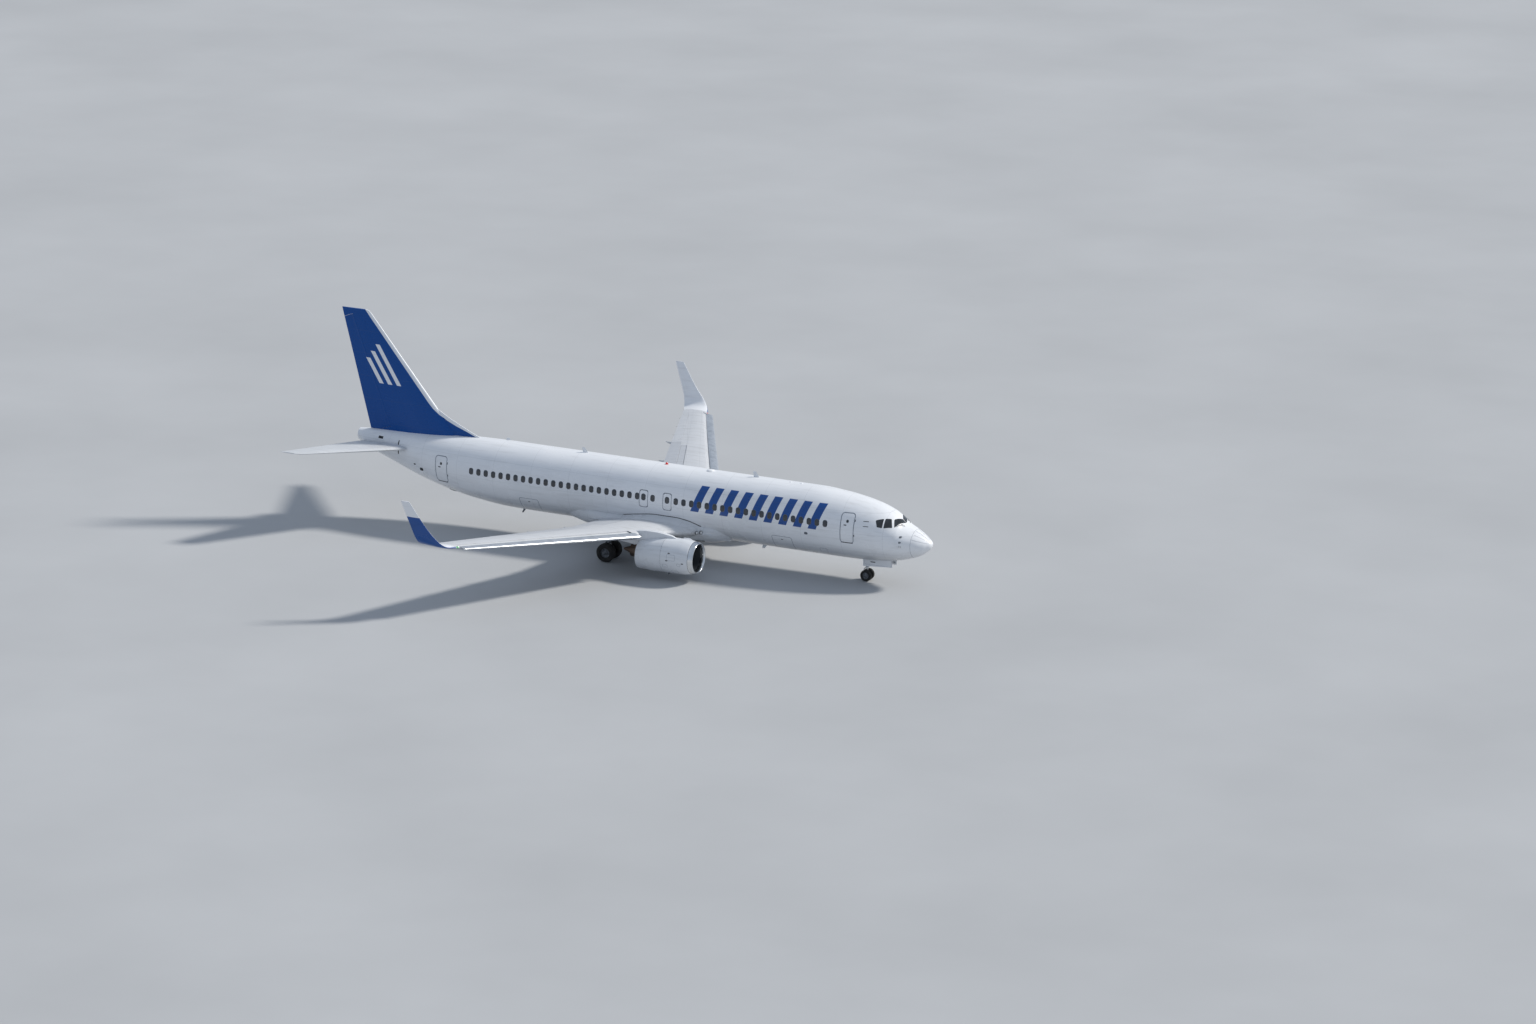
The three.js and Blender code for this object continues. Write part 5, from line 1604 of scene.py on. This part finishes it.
def crownAndKeel():
    for name, station, angle, tall, chord, tip, thick, sweep in hullBlades:
        a = radians(angle)
        up, aft = hullNormal(station, a), aftAt(station, a)
        piece = blade(name, hullPoint(station, a), up, aft, tall, chord, tip, thick, sweep)
        settle(piece, (trimPaint if "drain" in name or "skid" in name else whitePaint, "white_paint"))
    for name, station, angle, radius, tall, finish in hullDomes:
        a = radians(angle)
        piece = dome(name, hullPoint(station, a), hullNormal(station, a), radius, tall)
        settle(piece, (redLens, "dark_glass") if finish == "red" else (whitePaint, "white_paint"))
    tailLight = dome("tail_light", seated(xAt(38.0), 0, 4.93), Vector((-1, 0, 0.25)), 0.045, 0.05)
    settle(tailLight, clearTrim)


crownAndKeel()

# name, station, height, half width, half height, corner, side or 0 for both, finish
skinMarks = [
    # the dark marks are plates of painted shade for vents, slots, valves, inlets and handle recesses
    ("vent_row_upper", 3.6, 4.22, 0.16, 0.016, 0.012, 0, "dark"),
    ("vent_row_lower", 3.58, 3.95, 0.16, 0.016, 0.012, 0, "dark"),
    ("static_plate", 7.28, 3.1, 0.11, 0.075, 0.06, 0, "trim"),
    ("cargo_handle_front", 8.92, 2.42, 0.07, 0.022, 0.015, -1, "dark"),
    ("cargo_handle_rear", 25.62, 2.42, 0.07, 0.022, 0.015, -1, "dark"),
    ("outflow_valve", 33.1, 3.36, 0.13, 0.1, 0.08, 0, "dark"),
    ("tail_vent", 33.58, 3.62, 0.07, 0.05, 0.04, 0, "dark"),
    ("trim_slot_upper", 34.86, 4.7, 0.035, 0.13, 0.02, 0, "dark"),
    ("trim_slot_lower", 34.8, 4.2, 0.035, 0.16, 0.02, 0, "dark"),
    ("air_inlet_tail", 36.24, 4.8, 0.17, 0.07, 0.03, -1, "dark"),
    ("air_exit_tail", 35.6, 4.86, 0.1, 0.05, 0.02, 1, "dark"),
    ("service_panel", 6.35, 2.05, 0.22, 0.16, 0.04, -1, "white"),
    ("water_panel", 29.3, 2.35, 0.2, 0.15, 0.04, 1, "white"),
    ("waste_panel", 27.9, 2.3, 0.2, 0.15, 0.04, 1, "white"),
]
cargoDoors = [("cargo_outline_front", 8.3, 9.55, 1.72, 2.62),
              ("cargo_outline_rear", 25.0, 26.24, 1.78, 2.62)]
cargoLine = {"corner": 0.1, "width": 0.026}
doorFittings = {"window": 0.075, "windowHeight": 0.42, "handle": (0.085, 0.028), "handleAft": 0.12,
                "handleBelow": 0.22, "sill": 0.022, "sillBelow": 0.035, "latch": (0.02, 0.06),
                "latchAhead": 0.075, "latchBelow": 0.35, "latchAbove": 0.45}


def skinDetails():
    # dark marks are painted shade in openings and recesses
    finishes = {"dark": darkTrim, "trim": greyTrim, "white": (doorPaint, "white_paint")}
    for name, station, z, wide, tall, corner, only, finish in skinMarks:
        for hand, side in sides:
            if only in (0, side):
                place = sidePlace(station, z, side)
                mark = plate(f"{name}_{hand}", place, wide, tall, corner, flushFace, -0.006, step=0.08)
                settle(mark, finishes[finish])
                if finish == "white":
                    rim = band(f"{name}_rim_{hand}", place, wide + 0.004, tall + 0.004, corner,
                               0.012, 0.003)
                    settle(rim, outlineTrim)
    for name, front, back, low, high in cargoDoors:
        place = sidePlace((front + back) / 2, (low + high) / 2, -1)
        outline = band(name, place, (back - front) / 2, (high - low) / 2, cargoLine["corner"],
                       cargoLine["width"])
        settle(outline, outlineTrim)
    for door in cabinDoors:
        f, side, tag = doorFittings, door["side"], door["name"]
        middle, half = (door["front"] + door["back"]) / 2, (door["back"] - door["front"]) / 2
        eyeLine, latch = door["top"] - f["windowHeight"], door["front"] - f["latchAhead"]
        spots = [("viewer", middle, eyeLine, f["window"], f["window"] * 1.15, f["window"] * 0.9),
                 ("handle", middle + f["handleAft"], eyeLine - f["handleBelow"], *f["handle"], 0.02),
                 ("sill", middle, door["sill"] - f["sillBelow"], half * 0.96, f["sill"], 0.015),
                 ("hinge_upper", latch, door["top"] - f["latchBelow"], *f["latch"], 0.012),
                 ("hinge_lower", latch, door["sill"] + f["latchAbove"], *f["latch"], 0.012)]
        for which, station, z, wide, tall, corner in spots:
            face = [(1, 0.004), (0.95, 0.006)]
            place = sidePlace(station, z, side)
            piece = plate(f"{tag}_{which}", place, wide, tall, corner, face, step=0.08)
            # the viewer is glass; the handle, sill and hinge marks are dark plates of painted shade in their
            # recess and gaps
            settle(piece, (cabinGlass if which == "viewer" else rubberAndPaintedShade, "dark_glass"))


skinDetails()
print("skin details made")

noseFit = {"probeStation": 1.58, "probeHeights": (3.46, 3.16), "vaneHeight": 2.9, "reach": 0.1,
           "long": 0.17, "seam": 1.02, "plate": (0.07, 0.055, 0.04), "strips": 6, "stripFrom": 30,
           "stripStep": 24, "stripStations": (0.2, 0.4, 0.6, 0.8, 0.98), "stripRadius": 0.006}
# station, degrees round the hull and lift of the wiper's arm and blade
wiperArm = [(1.6, 70, 0.0), (1.61, 70, 0.035), (1.74, 66, 0.035), (1.82, 62, 0.028)]
wiperBlade = [(1.73, 74, 0.018), (1.82, 62, 0.018), (1.93, 51, 0.018)]


def noseDetails():
    f = noseFit
    for hand, side in sides:
        pieces = []
        for z in f["probeHeights"]:
            foot = onHull(f["probeStation"], z, side)
            out = foot - onHull(f["probeStation"], z, side, -1)
            arm = foot + out * f["reach"]
            pieces.append(blade("arm", foot, out, -aftward, f["reach"], 0.07, 0.035, 0.022, 0.03))
            head = [arm + aftward * 0.03, arm - aftward * f["long"] * 0.7, arm - aftward * f["long"]]
            pieces.append(tube("head", head, 0.013, 8, 0.6))
        foot = onHull(f["probeStation"], f["vaneHeight"], side)
        out = foot - onHull(f["probeStation"], f["vaneHeight"], side, -1)
        pieces.append(dome("vane_base", foot, out, 0.05, 0.012))
        pieces.append(blade("vane", foot, out, aftward, 0.09, 0.05, 0.035, 0.014, 0.06))
        settle(gather(f"air_probes_{hand}", pieces), chromeTrim)
        plates = [plate("plate", sidePlace(f["probeStation"], z, side), *f["plate"],
                        [(1, 0.002), (0.95, 0.003)], step=0.05)
                  for z in (*f["probeHeights"], f["vaneHeight"])]
        settle(gather(f"probe_plates_{hand}", plates), greyTrim)
        wiper(hand, side)
    settle(hullRing("radome_seam", f["seam"], 0.006, 0.0025), outlineTrim)
    strips = []
    for k in range(f["strips"]):
        a = radians(f["stripFrom"] + f["stripStep"] * k)
        path = [offHull(s, a, 0.002) for s in f["stripStations"]]
        strips.append(tube("strip", path, f["stripRadius"], 6))
    settle(gather("radome_strips", strips), outlineTrim)


def hullRing(name, station, width, lift, count=96):
    # a thin ring that lies on the hull at a station
    rings = []
    for i in range(count):
        a = 2 * pi * i / count
        rings.append([offHull(station + s, a, h)
                      for s, h in ((-width, -bandSink), (-width, lift), (width, lift), (width, -bandSink))])
    return roundLoft(name, rings, 50)


def wiper(name, side):
    # an arm from the foot of the windscreen and the blade that lies on its glass
    def at(station, degrees, lift):
        a = radians(degrees)
        return offHull(station, a if side > 0 else pi - a, lift)

    arm = tube("arm", [at(*row) for row in wiperArm], 0.011, 8)
    rubberBlade = tube("blade", [at(*row) for row in wiperBlade], 0.012, 8)
    settle(gather(f"wiper_{name}", [arm, rubberBlade]), darkTrim)


noseDetails()
print("nose details made")

# Engine details
nacelleFit = {"chine": (0.55, 0.95, 0.26), "chineAngle": 40, "latches": 6, "latchSpan": (0.5, 1.95),
              "splitSpan": (0.32, 2.03), "splitRadius": 0.006, "spiralSpan": (0.79, 1.02),
              "spiralTurns": 1.1, "spiralWidth": 0.009, "drain": 1.85, "drainAngle": -97}
# distance aft of the lip, degrees up from the outboard side, half length, half width
cowlMarks = [(1.35, 8, 0.26, 0.17), (1.75, -22, 0.14, 0.1), (0.85, -14, 0.1, 0.08), (1.2, -48, 0.2, 0.13)]
cowlVents = [(1.62, -3), (1.5, 22), (0.62, -8)]


def onCowl(side, along, angle, lift=0.0):
    return engineSpot(side, along, smoothAt(cowlOuter, along)[1] + lift, angle)


def cowlPlace(side, along, degrees):
    # a patch on the fan cowl; degrees run up from the outboard side
    def place(u, v, lift):
        h = along + u
        r = smoothAt(cowlOuter, h)[1] + lift
        a = radians(degrees) + v / r
        return engineSpot(side, h, r, a if side > 0 else pi - a)
    return place


def engineDetails(name, side):
    n = nacelleFit
    start, long, tall = n["chine"]
    angle = radians(180 - n["chineAngle"] if side > 0 else n["chineAngle"])
    foot, out = onCowl(side, start + long / 2, angle), Vector((0, cos(angle), sin(angle)))
    aft = Vector((-1, -side * 0.06, 0))
    chine = blade(f"nacelle_strake_{name}", foot, out, aft, tall, long, long * 0.45, 0.03, 0.2, 0.04)
    settle(chine, nacelleTrim)
    for k, (along, degrees, wide, tall) in enumerate(cowlMarks):
        place = cowlPlace(side, along, degrees)
        settle(band(f"cowl_panel_{k}_{name}", place, wide, tall, 0.04, 0.01, 0.002), outlineTrim)
    for k, (along, degrees) in enumerate(cowlVents):
        # each vent is a dark plate: painted shade inside the opening
        vent = plate(f"cowl_vent_{k}_{name}", cowlPlace(side, along, degrees), 0.07, 0.03, 0.025, ventFace)
        settle(vent, darkTrim)
    latches = []
    for k in range(n["latches"]):
        place = cowlPlace(side, mix(*n["latchSpan"], k / (n["latches"] - 1)), -90)
        latches.append(plate("latch", place, 0.075, 0.028, 0.012, [(1, 0.007), (0.9, 0.009)], steps=3))
    settle(gather(f"cowl_latches_{name}", latches), greyTrim)
    split = [onCowl(side, mix(*n["splitSpan"], k / 24), radians(-90), 0.001) for k in range(25)]
    settle(tube(f"cowl_split_{name}", split, n["splitRadius"], 6), darkTrim)
    spiral = []
    for k in range(41):
        share = k / 40
        h = mix(*n["spiralSpan"], share)
        r = rowAt(spinner[2:7], h)[1]
        spiral.append(engineSpot(side, h - 0.001, r, 2 * pi * n["spiralTurns"] * share ** 1.3))
    mark = tube(f"spinner_mark_{name}", spiral, n["spiralWidth"], 6)
    settle(mark, (whitePaint, "white_paint"), body=f"fan_{name}")
    foot = onCowl(side, n["drain"], radians(n["drainAngle"]))
    mast = blade(f"engine_drain_{name}", foot, Vector((0, 0, -1)), aftward, 0.12, 0.14, 0.08, 0.03, 0.06)
    settle(mast, greyTrim)


for hand, side in sides:
    engineDetails(hand, side)
print("engine details made")

# Wing and tail details
wicks = {"long": 0.13, "radius": 0.005, "aileron": (12.6, 13.9, 15.2), "elevator": (2.6, 3.8, 5.0),
         "rudder": (8.8, 10.1, 11.4)}
lightRows = {"tip": (16.4, 16.57), "lens": 0.008, "chord": 0.045, "landing": (13.98, 1.99, 2.21),
             "landingStep": (0.2, 0.17), "landingRadius": 0.085}
lampRim = [(-0.05, 0.098), (-0.05, 0.118), (0.012, 0.116), (0.022, 0.109), (0.024, 0.098), (0.016, 0.09),
           (0.006, 0.088)]
rudderEdge = [(5.0, 37.232), (12.2, 39.063)]
# Y, leading edge, trailing edge and height of the stabiliser
tailRows = [(0.5, 33.64, 37.57, 4.4), (6.95, 38.06, 39.41, 5.045), (7.175, 38.48, 39.47, 5.07)]


def wick(foot):
    path = [foot - aftward * 0.03, foot + aftward * 0.05, foot + aftward * wicks["long"]]
    return tube("wick", path, wicks["radius"], 6, 0.4)


def tailSpot(side, y, t):
    _, lead, trail, z = rowAt(tailRows, y)
    return seated(xAt(mix(lead, trail, t)), side * y, z)


tankPanels = {"first": 6.3, "pitch": 0.92, "count": 11, "share": 0.42, "long": 0.2, "wide": 0.115}


def wingPanels(name, side):
    # oval covers of the tanks under the wing
    t = tankPanels
    covers = []
    for y in [t["first"] + t["pitch"] * k for k in range(t["count"])]:
        chord = wingSpot(side, y, 0).x - wingSpot(side, y, 1).x

        def place(u, v, lift, y=y, chord=chord):
            return wingSpot(side, y + v, t["share"] + u / chord, -1, 0.002 + lift)
        covers.append(band("cover", place, t["wide"], t["long"], t["wide"] * 0.95, 0.008, 0.002))
    settle(gather(f"tank_covers_{name}", covers, 50), outlineTrim)


for hand, side in sides:
    wingPanels(hand, side)


def edgesAndLights():
    for hand, side in sides:
        for panel, spot in (("aileron", wingSpot), ("elevator", tailSpot)):
            pieces = [wick(spot(side, y, 1.0)) for y in wicks[panel]]
            settle(gather(f"wicks_{panel}_{hand}", pieces), darkTrim, body=f"{panel}_{hand}")
        # a lens that wraps the leading edge outboard of the slats
        rings, shares = [], spread(0, lightRows["chord"], 6)
        for share in (0, 0.08, 0.3, 0.7, 0.92, 1):
            out = lightRows["lens"] * min(1, 4 * share * (1 - share) + 0.12)
            y = mix(*lightRows["tip"], share)
            upper = [wingSpot(side, y, t, 1, out) for t in reversed(shares)]
            rings.append(upper + [wingSpot(side, y, t, -1, out) for t in shares[1:]])
        settle(loft(f"tip_light_{hand}", rings, 50), (redLens if side > 0 else greenLens, "dark_glass"))
        foot = wingSpot(side, lightRows["tip"][1], 0.985)
        settle(dome(f"tip_rear_light_{hand}", foot, aftward, 0.022, 0.04), clearTrim)
        station, y, z = lightRows["landing"]
        back, out = lightRows["landingStep"]
        for k in (0, 1):
            spot = seated(xAt(station + back * k), side * (y + out * k), z + 0.02)
            way = Vector((1, side * 0.35, 0.05))
            lamp = dome(f"landing_light_{k}_{hand}", spot, way, lightRows["landingRadius"], 0.03)
            settle(lamp, clearTrim)
            rim = turned(f"landing_light_rim_{k}_{hand}", lampRim, aroundAxis(spot, way), 40, 30)
            settle(rim, (hubMetal, "bright_metal"))
    rudderWicks = [wick(seated(xAt(rowAt(rudderEdge, z)[1]), 0, z)) for z in wicks["rudder"]]
    settle(gather("wicks_rudder", rudderWicks), darkTrim, body="rudder")


edgesAndLights()
print("edges and lights made")

# Gear details
brake = {"profile": [(0.1, 0.1), (0.1, 0.19), (0.15, 0.21), (0.15, 0.245), (0.272, 0.245), (0.272, 0.12),
                     (0.12, 0.12)],
         "pistons": 6, "ring": 0.19, "from": 0.11, "long": 0.06, "radius": 0.03}
mainPiston = {"low": 0.7, "high": 0.955, "radius": 0.0905}
nosePiston = {"low": 0.44, "high": 0.8, "radius": 0.0575}
# hoses down the main leg: distance off its axis and turn round it
mainHoses = {"rows": [(0.14, 0.4), (0.15, 1.1), (0.145, 2.4)], "radius": 0.014,
             "clips": (1.12, 1.45, 1.75), "clipTall": 0.035}
taxiLight = {"ahead": 0.17, "z": 1.14, "radius": 0.085,
             "case": [(0.03, 0.02), (0.1, 0.075), (0.165, 0.108), (0.172, 0.108), (0.172, 0.02)]}
# steering rams beside the nose strut: name, ends along X, radius, sides
steering = {"y": 0.13, "z": 1.02, "rods": [("ram", (-0.06, 0.1, 0.26), 0.034, 14),
                                           ("rod", (-0.14, -0.1, -0.06), 0.016, 10)],
            "lug": (0.05, 0.1, 0.15), "lugRadius": 0.028}
noseHose = {"path": [(0.07, 0.07, 1.9), (0.1, 0.08, 1.4), (0.1, 0.09, 1.1)], "radius": 0.012}


def piston(name, x, y, size):
    # the polished rod of an oleo leg, with a foot ring and the gland nut above it
    low, high, radius = size["low"], size["high"], size["radius"]
    rows = [(low, 0), (low, radius + 0.006), (low + 0.025, radius + 0.008), (low + 0.035, radius),
            (high - 0.06, radius), (high - 0.056, radius + 0.008), (high - 0.036, radius + 0.011),
            (high - 0.032, radius + 0.018), (high, radius + 0.018), (high, 0)]
    return turned(name, rows, upright(x, y), 40, closed=False)


def brakePacks(x, y):
    z, packs = mainGear["radius"], []
    for way in (-1, 1):
        profile = [(h * way, r) for h, r in brake["profile"]]
        packs.append(turned("pack", profile, wheelSpot(x, y, z), 40, 30))
        for k in range(brake["pistons"]):
            a = 2 * pi * (k + 0.5) / brake["pistons"]
            spot = Vector((x + brake["ring"] * cos(a), y + way * brake["from"], z + brake["ring"] * sin(a)))
            path = [spot + Vector((0, way * brake["long"] * share, 0)) for share in (0, 0.5, 1)]
            packs.append(tube("piston", path, brake["radius"], 10))
    return packs


def legHoses(x, y, side):
    h, pieces = mainHoses, []
    for off, turn in h["rows"]:
        c, s = cos(turn), sin(turn) * side
        path = [(x + c * off, y + s * off, 1.9), (x + c * (off + 0.01), y + s * off, 1.4),
                (x + c * (off + 0.03), y + s * (off + 0.02), 1.02), (x + c * off, y + s * off * 0.9, 0.82),
                (x + c * 0.15, y + s * 0.1, 0.66)]
        pieces.append(tube("hose", path, h["radius"], 8))
    for z in h["clips"]:
        top = z + h["clipTall"]
        profile = [(z, 0.124), (z, 0.15), (top, 0.15), (top, 0.124)]
        pieces.append(turned("clip", profile, upright(x, y), 28, 40))
    return pieces


def gearDetails():
    x = xAt(mainGear["station"])
    for hand, side in sides:
        y = side * mainGear["track"] / 2
        settle(gather(f"brakes_{hand}", brakePacks(x, y)), (brakeMetal, "gear_paint"))
        settle(piston(f"main_piston_{hand}", x, y, mainPiston), chromeTrim)
        settle(gather(f"main_hoses_{hand}", legHoses(x, y, side)), (rubberAndPaintedShade, "tyre"))
    x = xAt(noseGear["station"])
    settle(piston("nose_piston", x, 0.0, nosePiston), chromeTrim, body="nose_steering_leg")
    t, s = taxiLight, steering
    lamp = dome("taxi_light", Vector((x + t["ahead"], 0, t["z"])), Vector((1, 0, -0.1)), t["radius"], 0.03)
    settle(lamp, clearTrim)
    case = turned("taxi_light_case", t["case"],
                  lambda h, r, a: Vector((x + h, r * cos(a), t["z"] + r * sin(a))), 28, 35, closed=False)
    settle(case, (trimPaint, "gear_paint"))
    rams, hoses = [], []
    for side in (1, -1):
        for name, offs, radius, around in s["rods"]:
            rams.append(tube(name, [(x + off, side * s["y"], s["z"]) for off in offs], radius, around))
        rams.append(tube("lug", [(x, side * y, s["z"]) for y in s["lug"]], s["lugRadius"], 10))
        hoses.append(tube("hose", [(x + off, side * y, z) for off, y, z in noseHose["path"]],
                          noseHose["radius"], 8))
    settle(gather("steering_rams", rams), gearTrim)
    settle(gather("nose_hoses", hoses), (rubberAndPaintedShade, "tyre"))


gearDetails()

doorFit = {"y": 0.344, "half": 0.012, "front": 2.4, "back": 4.25, "top": 1.5, "hinges": (2.62, 3.3, 4.0),
           "rib": 0.03, "ribs": 7, "ribHalf": 0.01, "ribLow": (1.12, 1.0), "rails": (1.17, 1.34),
           "middle": 3.3, "arm": [(0, 1.4), (0.05, 1.5), (0.06, 1.62), (0.03, 1.8)], "vent": (3.62, 1.27),
           "edge": (3.3, 1.3)}


def noseDoorDetails():
    # stiffeners, hinge arms and a vent on the nose gear doors
    d = doorFit
    for hand, side in sides:
        inner, outer = side * (d["y"] - d["half"]), side * (d["y"] + d["half"])
        pieces = []
        for k in range(d["ribs"]):
            share = k / (d["ribs"] - 1)
            x = xAt(mix(d["front"] + 0.1, d["back"] - 0.1, share))
            pieces.append(boxAt("rib", (x - d["ribHalf"], x + d["ribHalf"]),
                                (inner, inner - side * d["rib"]), (mix(*d["ribLow"], share), d["top"])))
        for z in d["rails"]:
            path = [(xAt(s), inner - side * 0.012, z)
                    for s in (d["front"] + 0.08, d["middle"], d["back"] - 0.08)]
            pieces.append(tube("rail", path, 0.014, 8))
        for s in d["hinges"]:
            pieces.append(tube("arm", [(xAt(s), inner - side * off, z) for off, z in d["arm"]], 0.02, 8))
        settle(gather(f"nose_door_frame_{hand}", pieces), gearTrim)

        def onDoor(station, height):
            return lambda u, v, lift: Vector((xAt(station) - u, outer + side * lift, height + v))

        # the vent is a dark plate: painted shade inside the opening
        vent = plate(f"nose_door_vent_{hand}", onDoor(*d["vent"]), 0.15, 0.028, 0.02, ventFace)
        settle(vent, darkTrim)
        rim = band(f"nose_door_edge_{hand}", onDoor(*d["edge"]), 0.84, 0.2, 0.02, 0.01, 0.002, 0.3)
        settle(rim, outlineTrim)


noseDoorDetails()

bayFrames = {"count": 6, "half": 0.012, "deep": 0.05, "low": 1.78, "pipes": (1.95, 2.08), "pipeIn": 0.07,
             "pipeRadius": 0.014}
wellRibs = {"count": 5, "across": 0.42, "half": 0.01, "deep": 0.06, "pipes": (-0.25, 0.2),
            "pipeHalf": 0.5, "pipeBelow": 0.09, "pipeRadius": 0.02}


def bayDetails():
    # frames and pipes on the walls of the nose bay, and ribs in the roofs of the wheel wells
    f, w = bayFrames, wellRibs
    pieces = []
    for k in range(f["count"]):
        x = xAt(mix(bay["front"] + 0.15, bay["back"] - 0.15, k / (f["count"] - 1)))
        for side in (1, -1):
            pieces.append(boxAt("frame", (x - f["half"], x + f["half"]),
                                (side * bay["half"], side * (bay["half"] - f["deep"])),
                                (f["low"], bay["roof"])))
    for side in (1, -1):
        for z in f["pipes"]:
            path = [(xAt(s), side * (bay["half"] - f["pipeIn"]), z)
                    for s in (bay["front"] + 0.05, 3.0, bay["back"] - 0.05)]
            pieces.append(tube("pipe", path, f["pipeRadius"], 8))
    settle(gather("bay_frames", pieces), gearTrim)
    x, top = xAt(wells["station"]), wells["top"]
    for hand, side in sides:
        ribs = []
        for k in range(w["count"]):
            off = mix(-w["across"], w["across"], k / (w["count"] - 1))
            y, reach = side * wells["y"] + off, sqrt(wells["radius"] ** 2 - off ** 2)
            ribs.append(boxAt("rib", (x - reach, x + reach), (y - w["half"], y + w["half"]),
                              (top - w["deep"], top)))
        for off in w["pipes"]:
            path = [(x + off, side * wells["y"] + s * w["pipeHalf"], top - w["pipeBelow"])
                    for s in (-1, 0, 1)]
            ribs.append(tube("pipe", path, w["pipeRadius"], 8))
        settle(gather(f"well_ribs_{hand}", ribs), gearTrim)


bayDetails()
print("gear details made")


# The solids that stay get smooth skins and their own finishes

joinWithin = 0.0002


def smoothed(angle):
    # a node group that joins split corners and shades them smooth up to an angle
    group = bpy.data.node_groups.new("smooth_skin", "GeometryNodeTree")
    group.interface.new_socket("Geometry", in_out="INPUT", socket_type="NodeSocketGeometry")
    group.interface.new_socket("Geometry", in_out="OUTPUT", socket_type="NodeSocketGeometry")
    start, end = addNode(group, "NodeGroupInput"), addNode(group, "NodeGroupOutput")
    bare = addNode(group, "GeometryNodeRemoveAttribute", None, i0=start.outputs[0])
    feed(group, bare.inputs["Name"], "custom_normal")
    joined = addNode(group, "GeometryNodeMergeByDistance", None, i0=bare.outputs[0])
    feed(group, joined.inputs["Distance"], joinWithin)
    allSmooth = addNode(group, "GeometryNodeSetShadeSmooth", {"domain": "FACE"}, i0=joined.outputs[0])
    edge = addNode(group, "GeometryNodeInputMeshEdgeAngle")
    sharp = addNode(group, "FunctionNodeCompare", {"operation": "GREATER_THAN"},
                    i0=edge.outputs["Unsigned Angle"], i1=radians(angle))
    flat = addNode(group, "GeometryNodeSetShadeSmooth", {"domain": "EDGE"}, i0=allSmooth.outputs[0])
    feed(group, flat.inputs["Selection"], sharp.outputs[0])
    feed(group, flat.inputs["Shade Smooth"], False)
    group.links.new(flat.outputs[0], end.inputs[0])
    return group


smoothSkin = smoothed(48)
dressing = {
    "aileron": wingTrim, "flap_inboard": flapTrim, "flap_outboard": flapTrim, "spoiler_inboard": flapTrim,
    "spoiler_outboard": flapTrim, "wing": wingTrim, "elevator": (tailPaint, "white_paint"),
    "stabiliser": (tailPaint, "white_paint"), "pylon": (pylonPaint, "white_paint"), "main_gear": gearTrim,
    "nose_gear_door": (whitePaint, "white_paint"),
}


def dress(node, finish):
    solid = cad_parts[node]
    solid.data.materials.clear()
    solid.data.materials.append(finish[0])
    step = solid.modifiers.new("smooth_skin", "NODES")
    step.node_group = smoothSkin


for hand, _ in sides:
    for node, finish in dressing.items():
        dress(f"{node}_{hand}", finish)
for node, finish in (("rudder", finTrim), ("fin", finTrim), ("nose_gear_strut", gearTrim),
                     ("nose_gear_leg", gearTrim)):
    dress(node, finish)
print("solids dressed")

# Floor, light and camera
studio = {"floor": 1500.0, "sky": (0.66, 0.76, 0.92), "skyStrength": 0.56, "sun": 3.2, "sunAngle": 7.0,
          "sunColour": (1.0, 0.955, 0.89), "sunFrom": (0.62, 0.46, 0.62)}


def buildStudio():
    size = studio["floor"]
    floor = makeMesh("studio_floor", [(-size, -size, 0), (size, -size, 0), (size, size, 0),
                                      (-size, size, 0)], [(0, 1, 2, 3)], closed=False)
    sheet = Sheet("floor_surface")
    cloud = grain(sheet.tree, sheet.space, 0.05, 4.0)
    tone = blendColour(sheet.tree, ramp(sheet.tree, cloud, 0.3, 0.7), rgb("b9bbbd"), rgb("b0b2b4"))
    sheet.give({"Base Color": tone, "Roughness": 0.85})
    floor.data.materials.append(sheet.material)
    world = bpy.data.worlds.new("studio_sky")
    world.use_nodes = True
    world.node_tree.nodes["Background"].inputs[0].default_value = (*studio["sky"], 1)
    world.node_tree.nodes["Background"].inputs[1].default_value = studio["skyStrength"]
    bpy.context.scene.world = world
    sun = bpy.data.objects.new("key_light", bpy.data.lights.new("key_light", "SUN"))
    sun.data.energy = studio["sun"]
    sun.data.angle = radians(studio["sunAngle"])
    sun.data.color = studio["sunColour"]
    bpy.context.scene.view_settings.view_transform = "Standard"
    sun.rotation_mode = "QUATERNION"
    sun.rotation_quaternion = Vector(studio["sunFrom"]).to_track_quat("Z", "Y")
    bpy.context.scene.collection.objects.link(sun)


view = {"azimuth": 24.85, "elevation": 16.06, "roll": 0.32, "distance": 298.6, "target": (0, 0, 3.0),
        "right": 8.32, "up": -0.78, "lens": 117.19}


def buildCamera():
    a, e, roll = [radians(view[k]) for k in ("azimuth", "elevation", "roll")]
    back = Vector((sin(a) * cos(e), -cos(a) * cos(e), sin(e)))
    right = (-back).cross(Vector((0, 0, 1))).normalized()
    up = right.cross(-back)
    turnedRight = right * cos(roll) + up * sin(roll)
    turnedUp = up * cos(roll) - right * sin(roll)
    spot = Vector(view["target"]) + back * view["distance"] + turnedRight * view["right"]
    spot += turnedUp * view["up"]
    eye = bpy.data.objects.new("photo_camera", bpy.data.cameras.new("photo_camera"))
    eye.data.lens = view["lens"]
    eye.data.sensor_width = 36
    eye.data.clip_start, eye.data.clip_end = 1, 5000
    eye.matrix_world = Matrix((turnedRight, turnedUp, back)).transposed().to_4x4()
    eye.location = spot
    bpy.context.scene.collection.objects.link(eye)
    bpy.context.scene.camera = eye


buildStudio()
buildCamera()
print("studio ready")
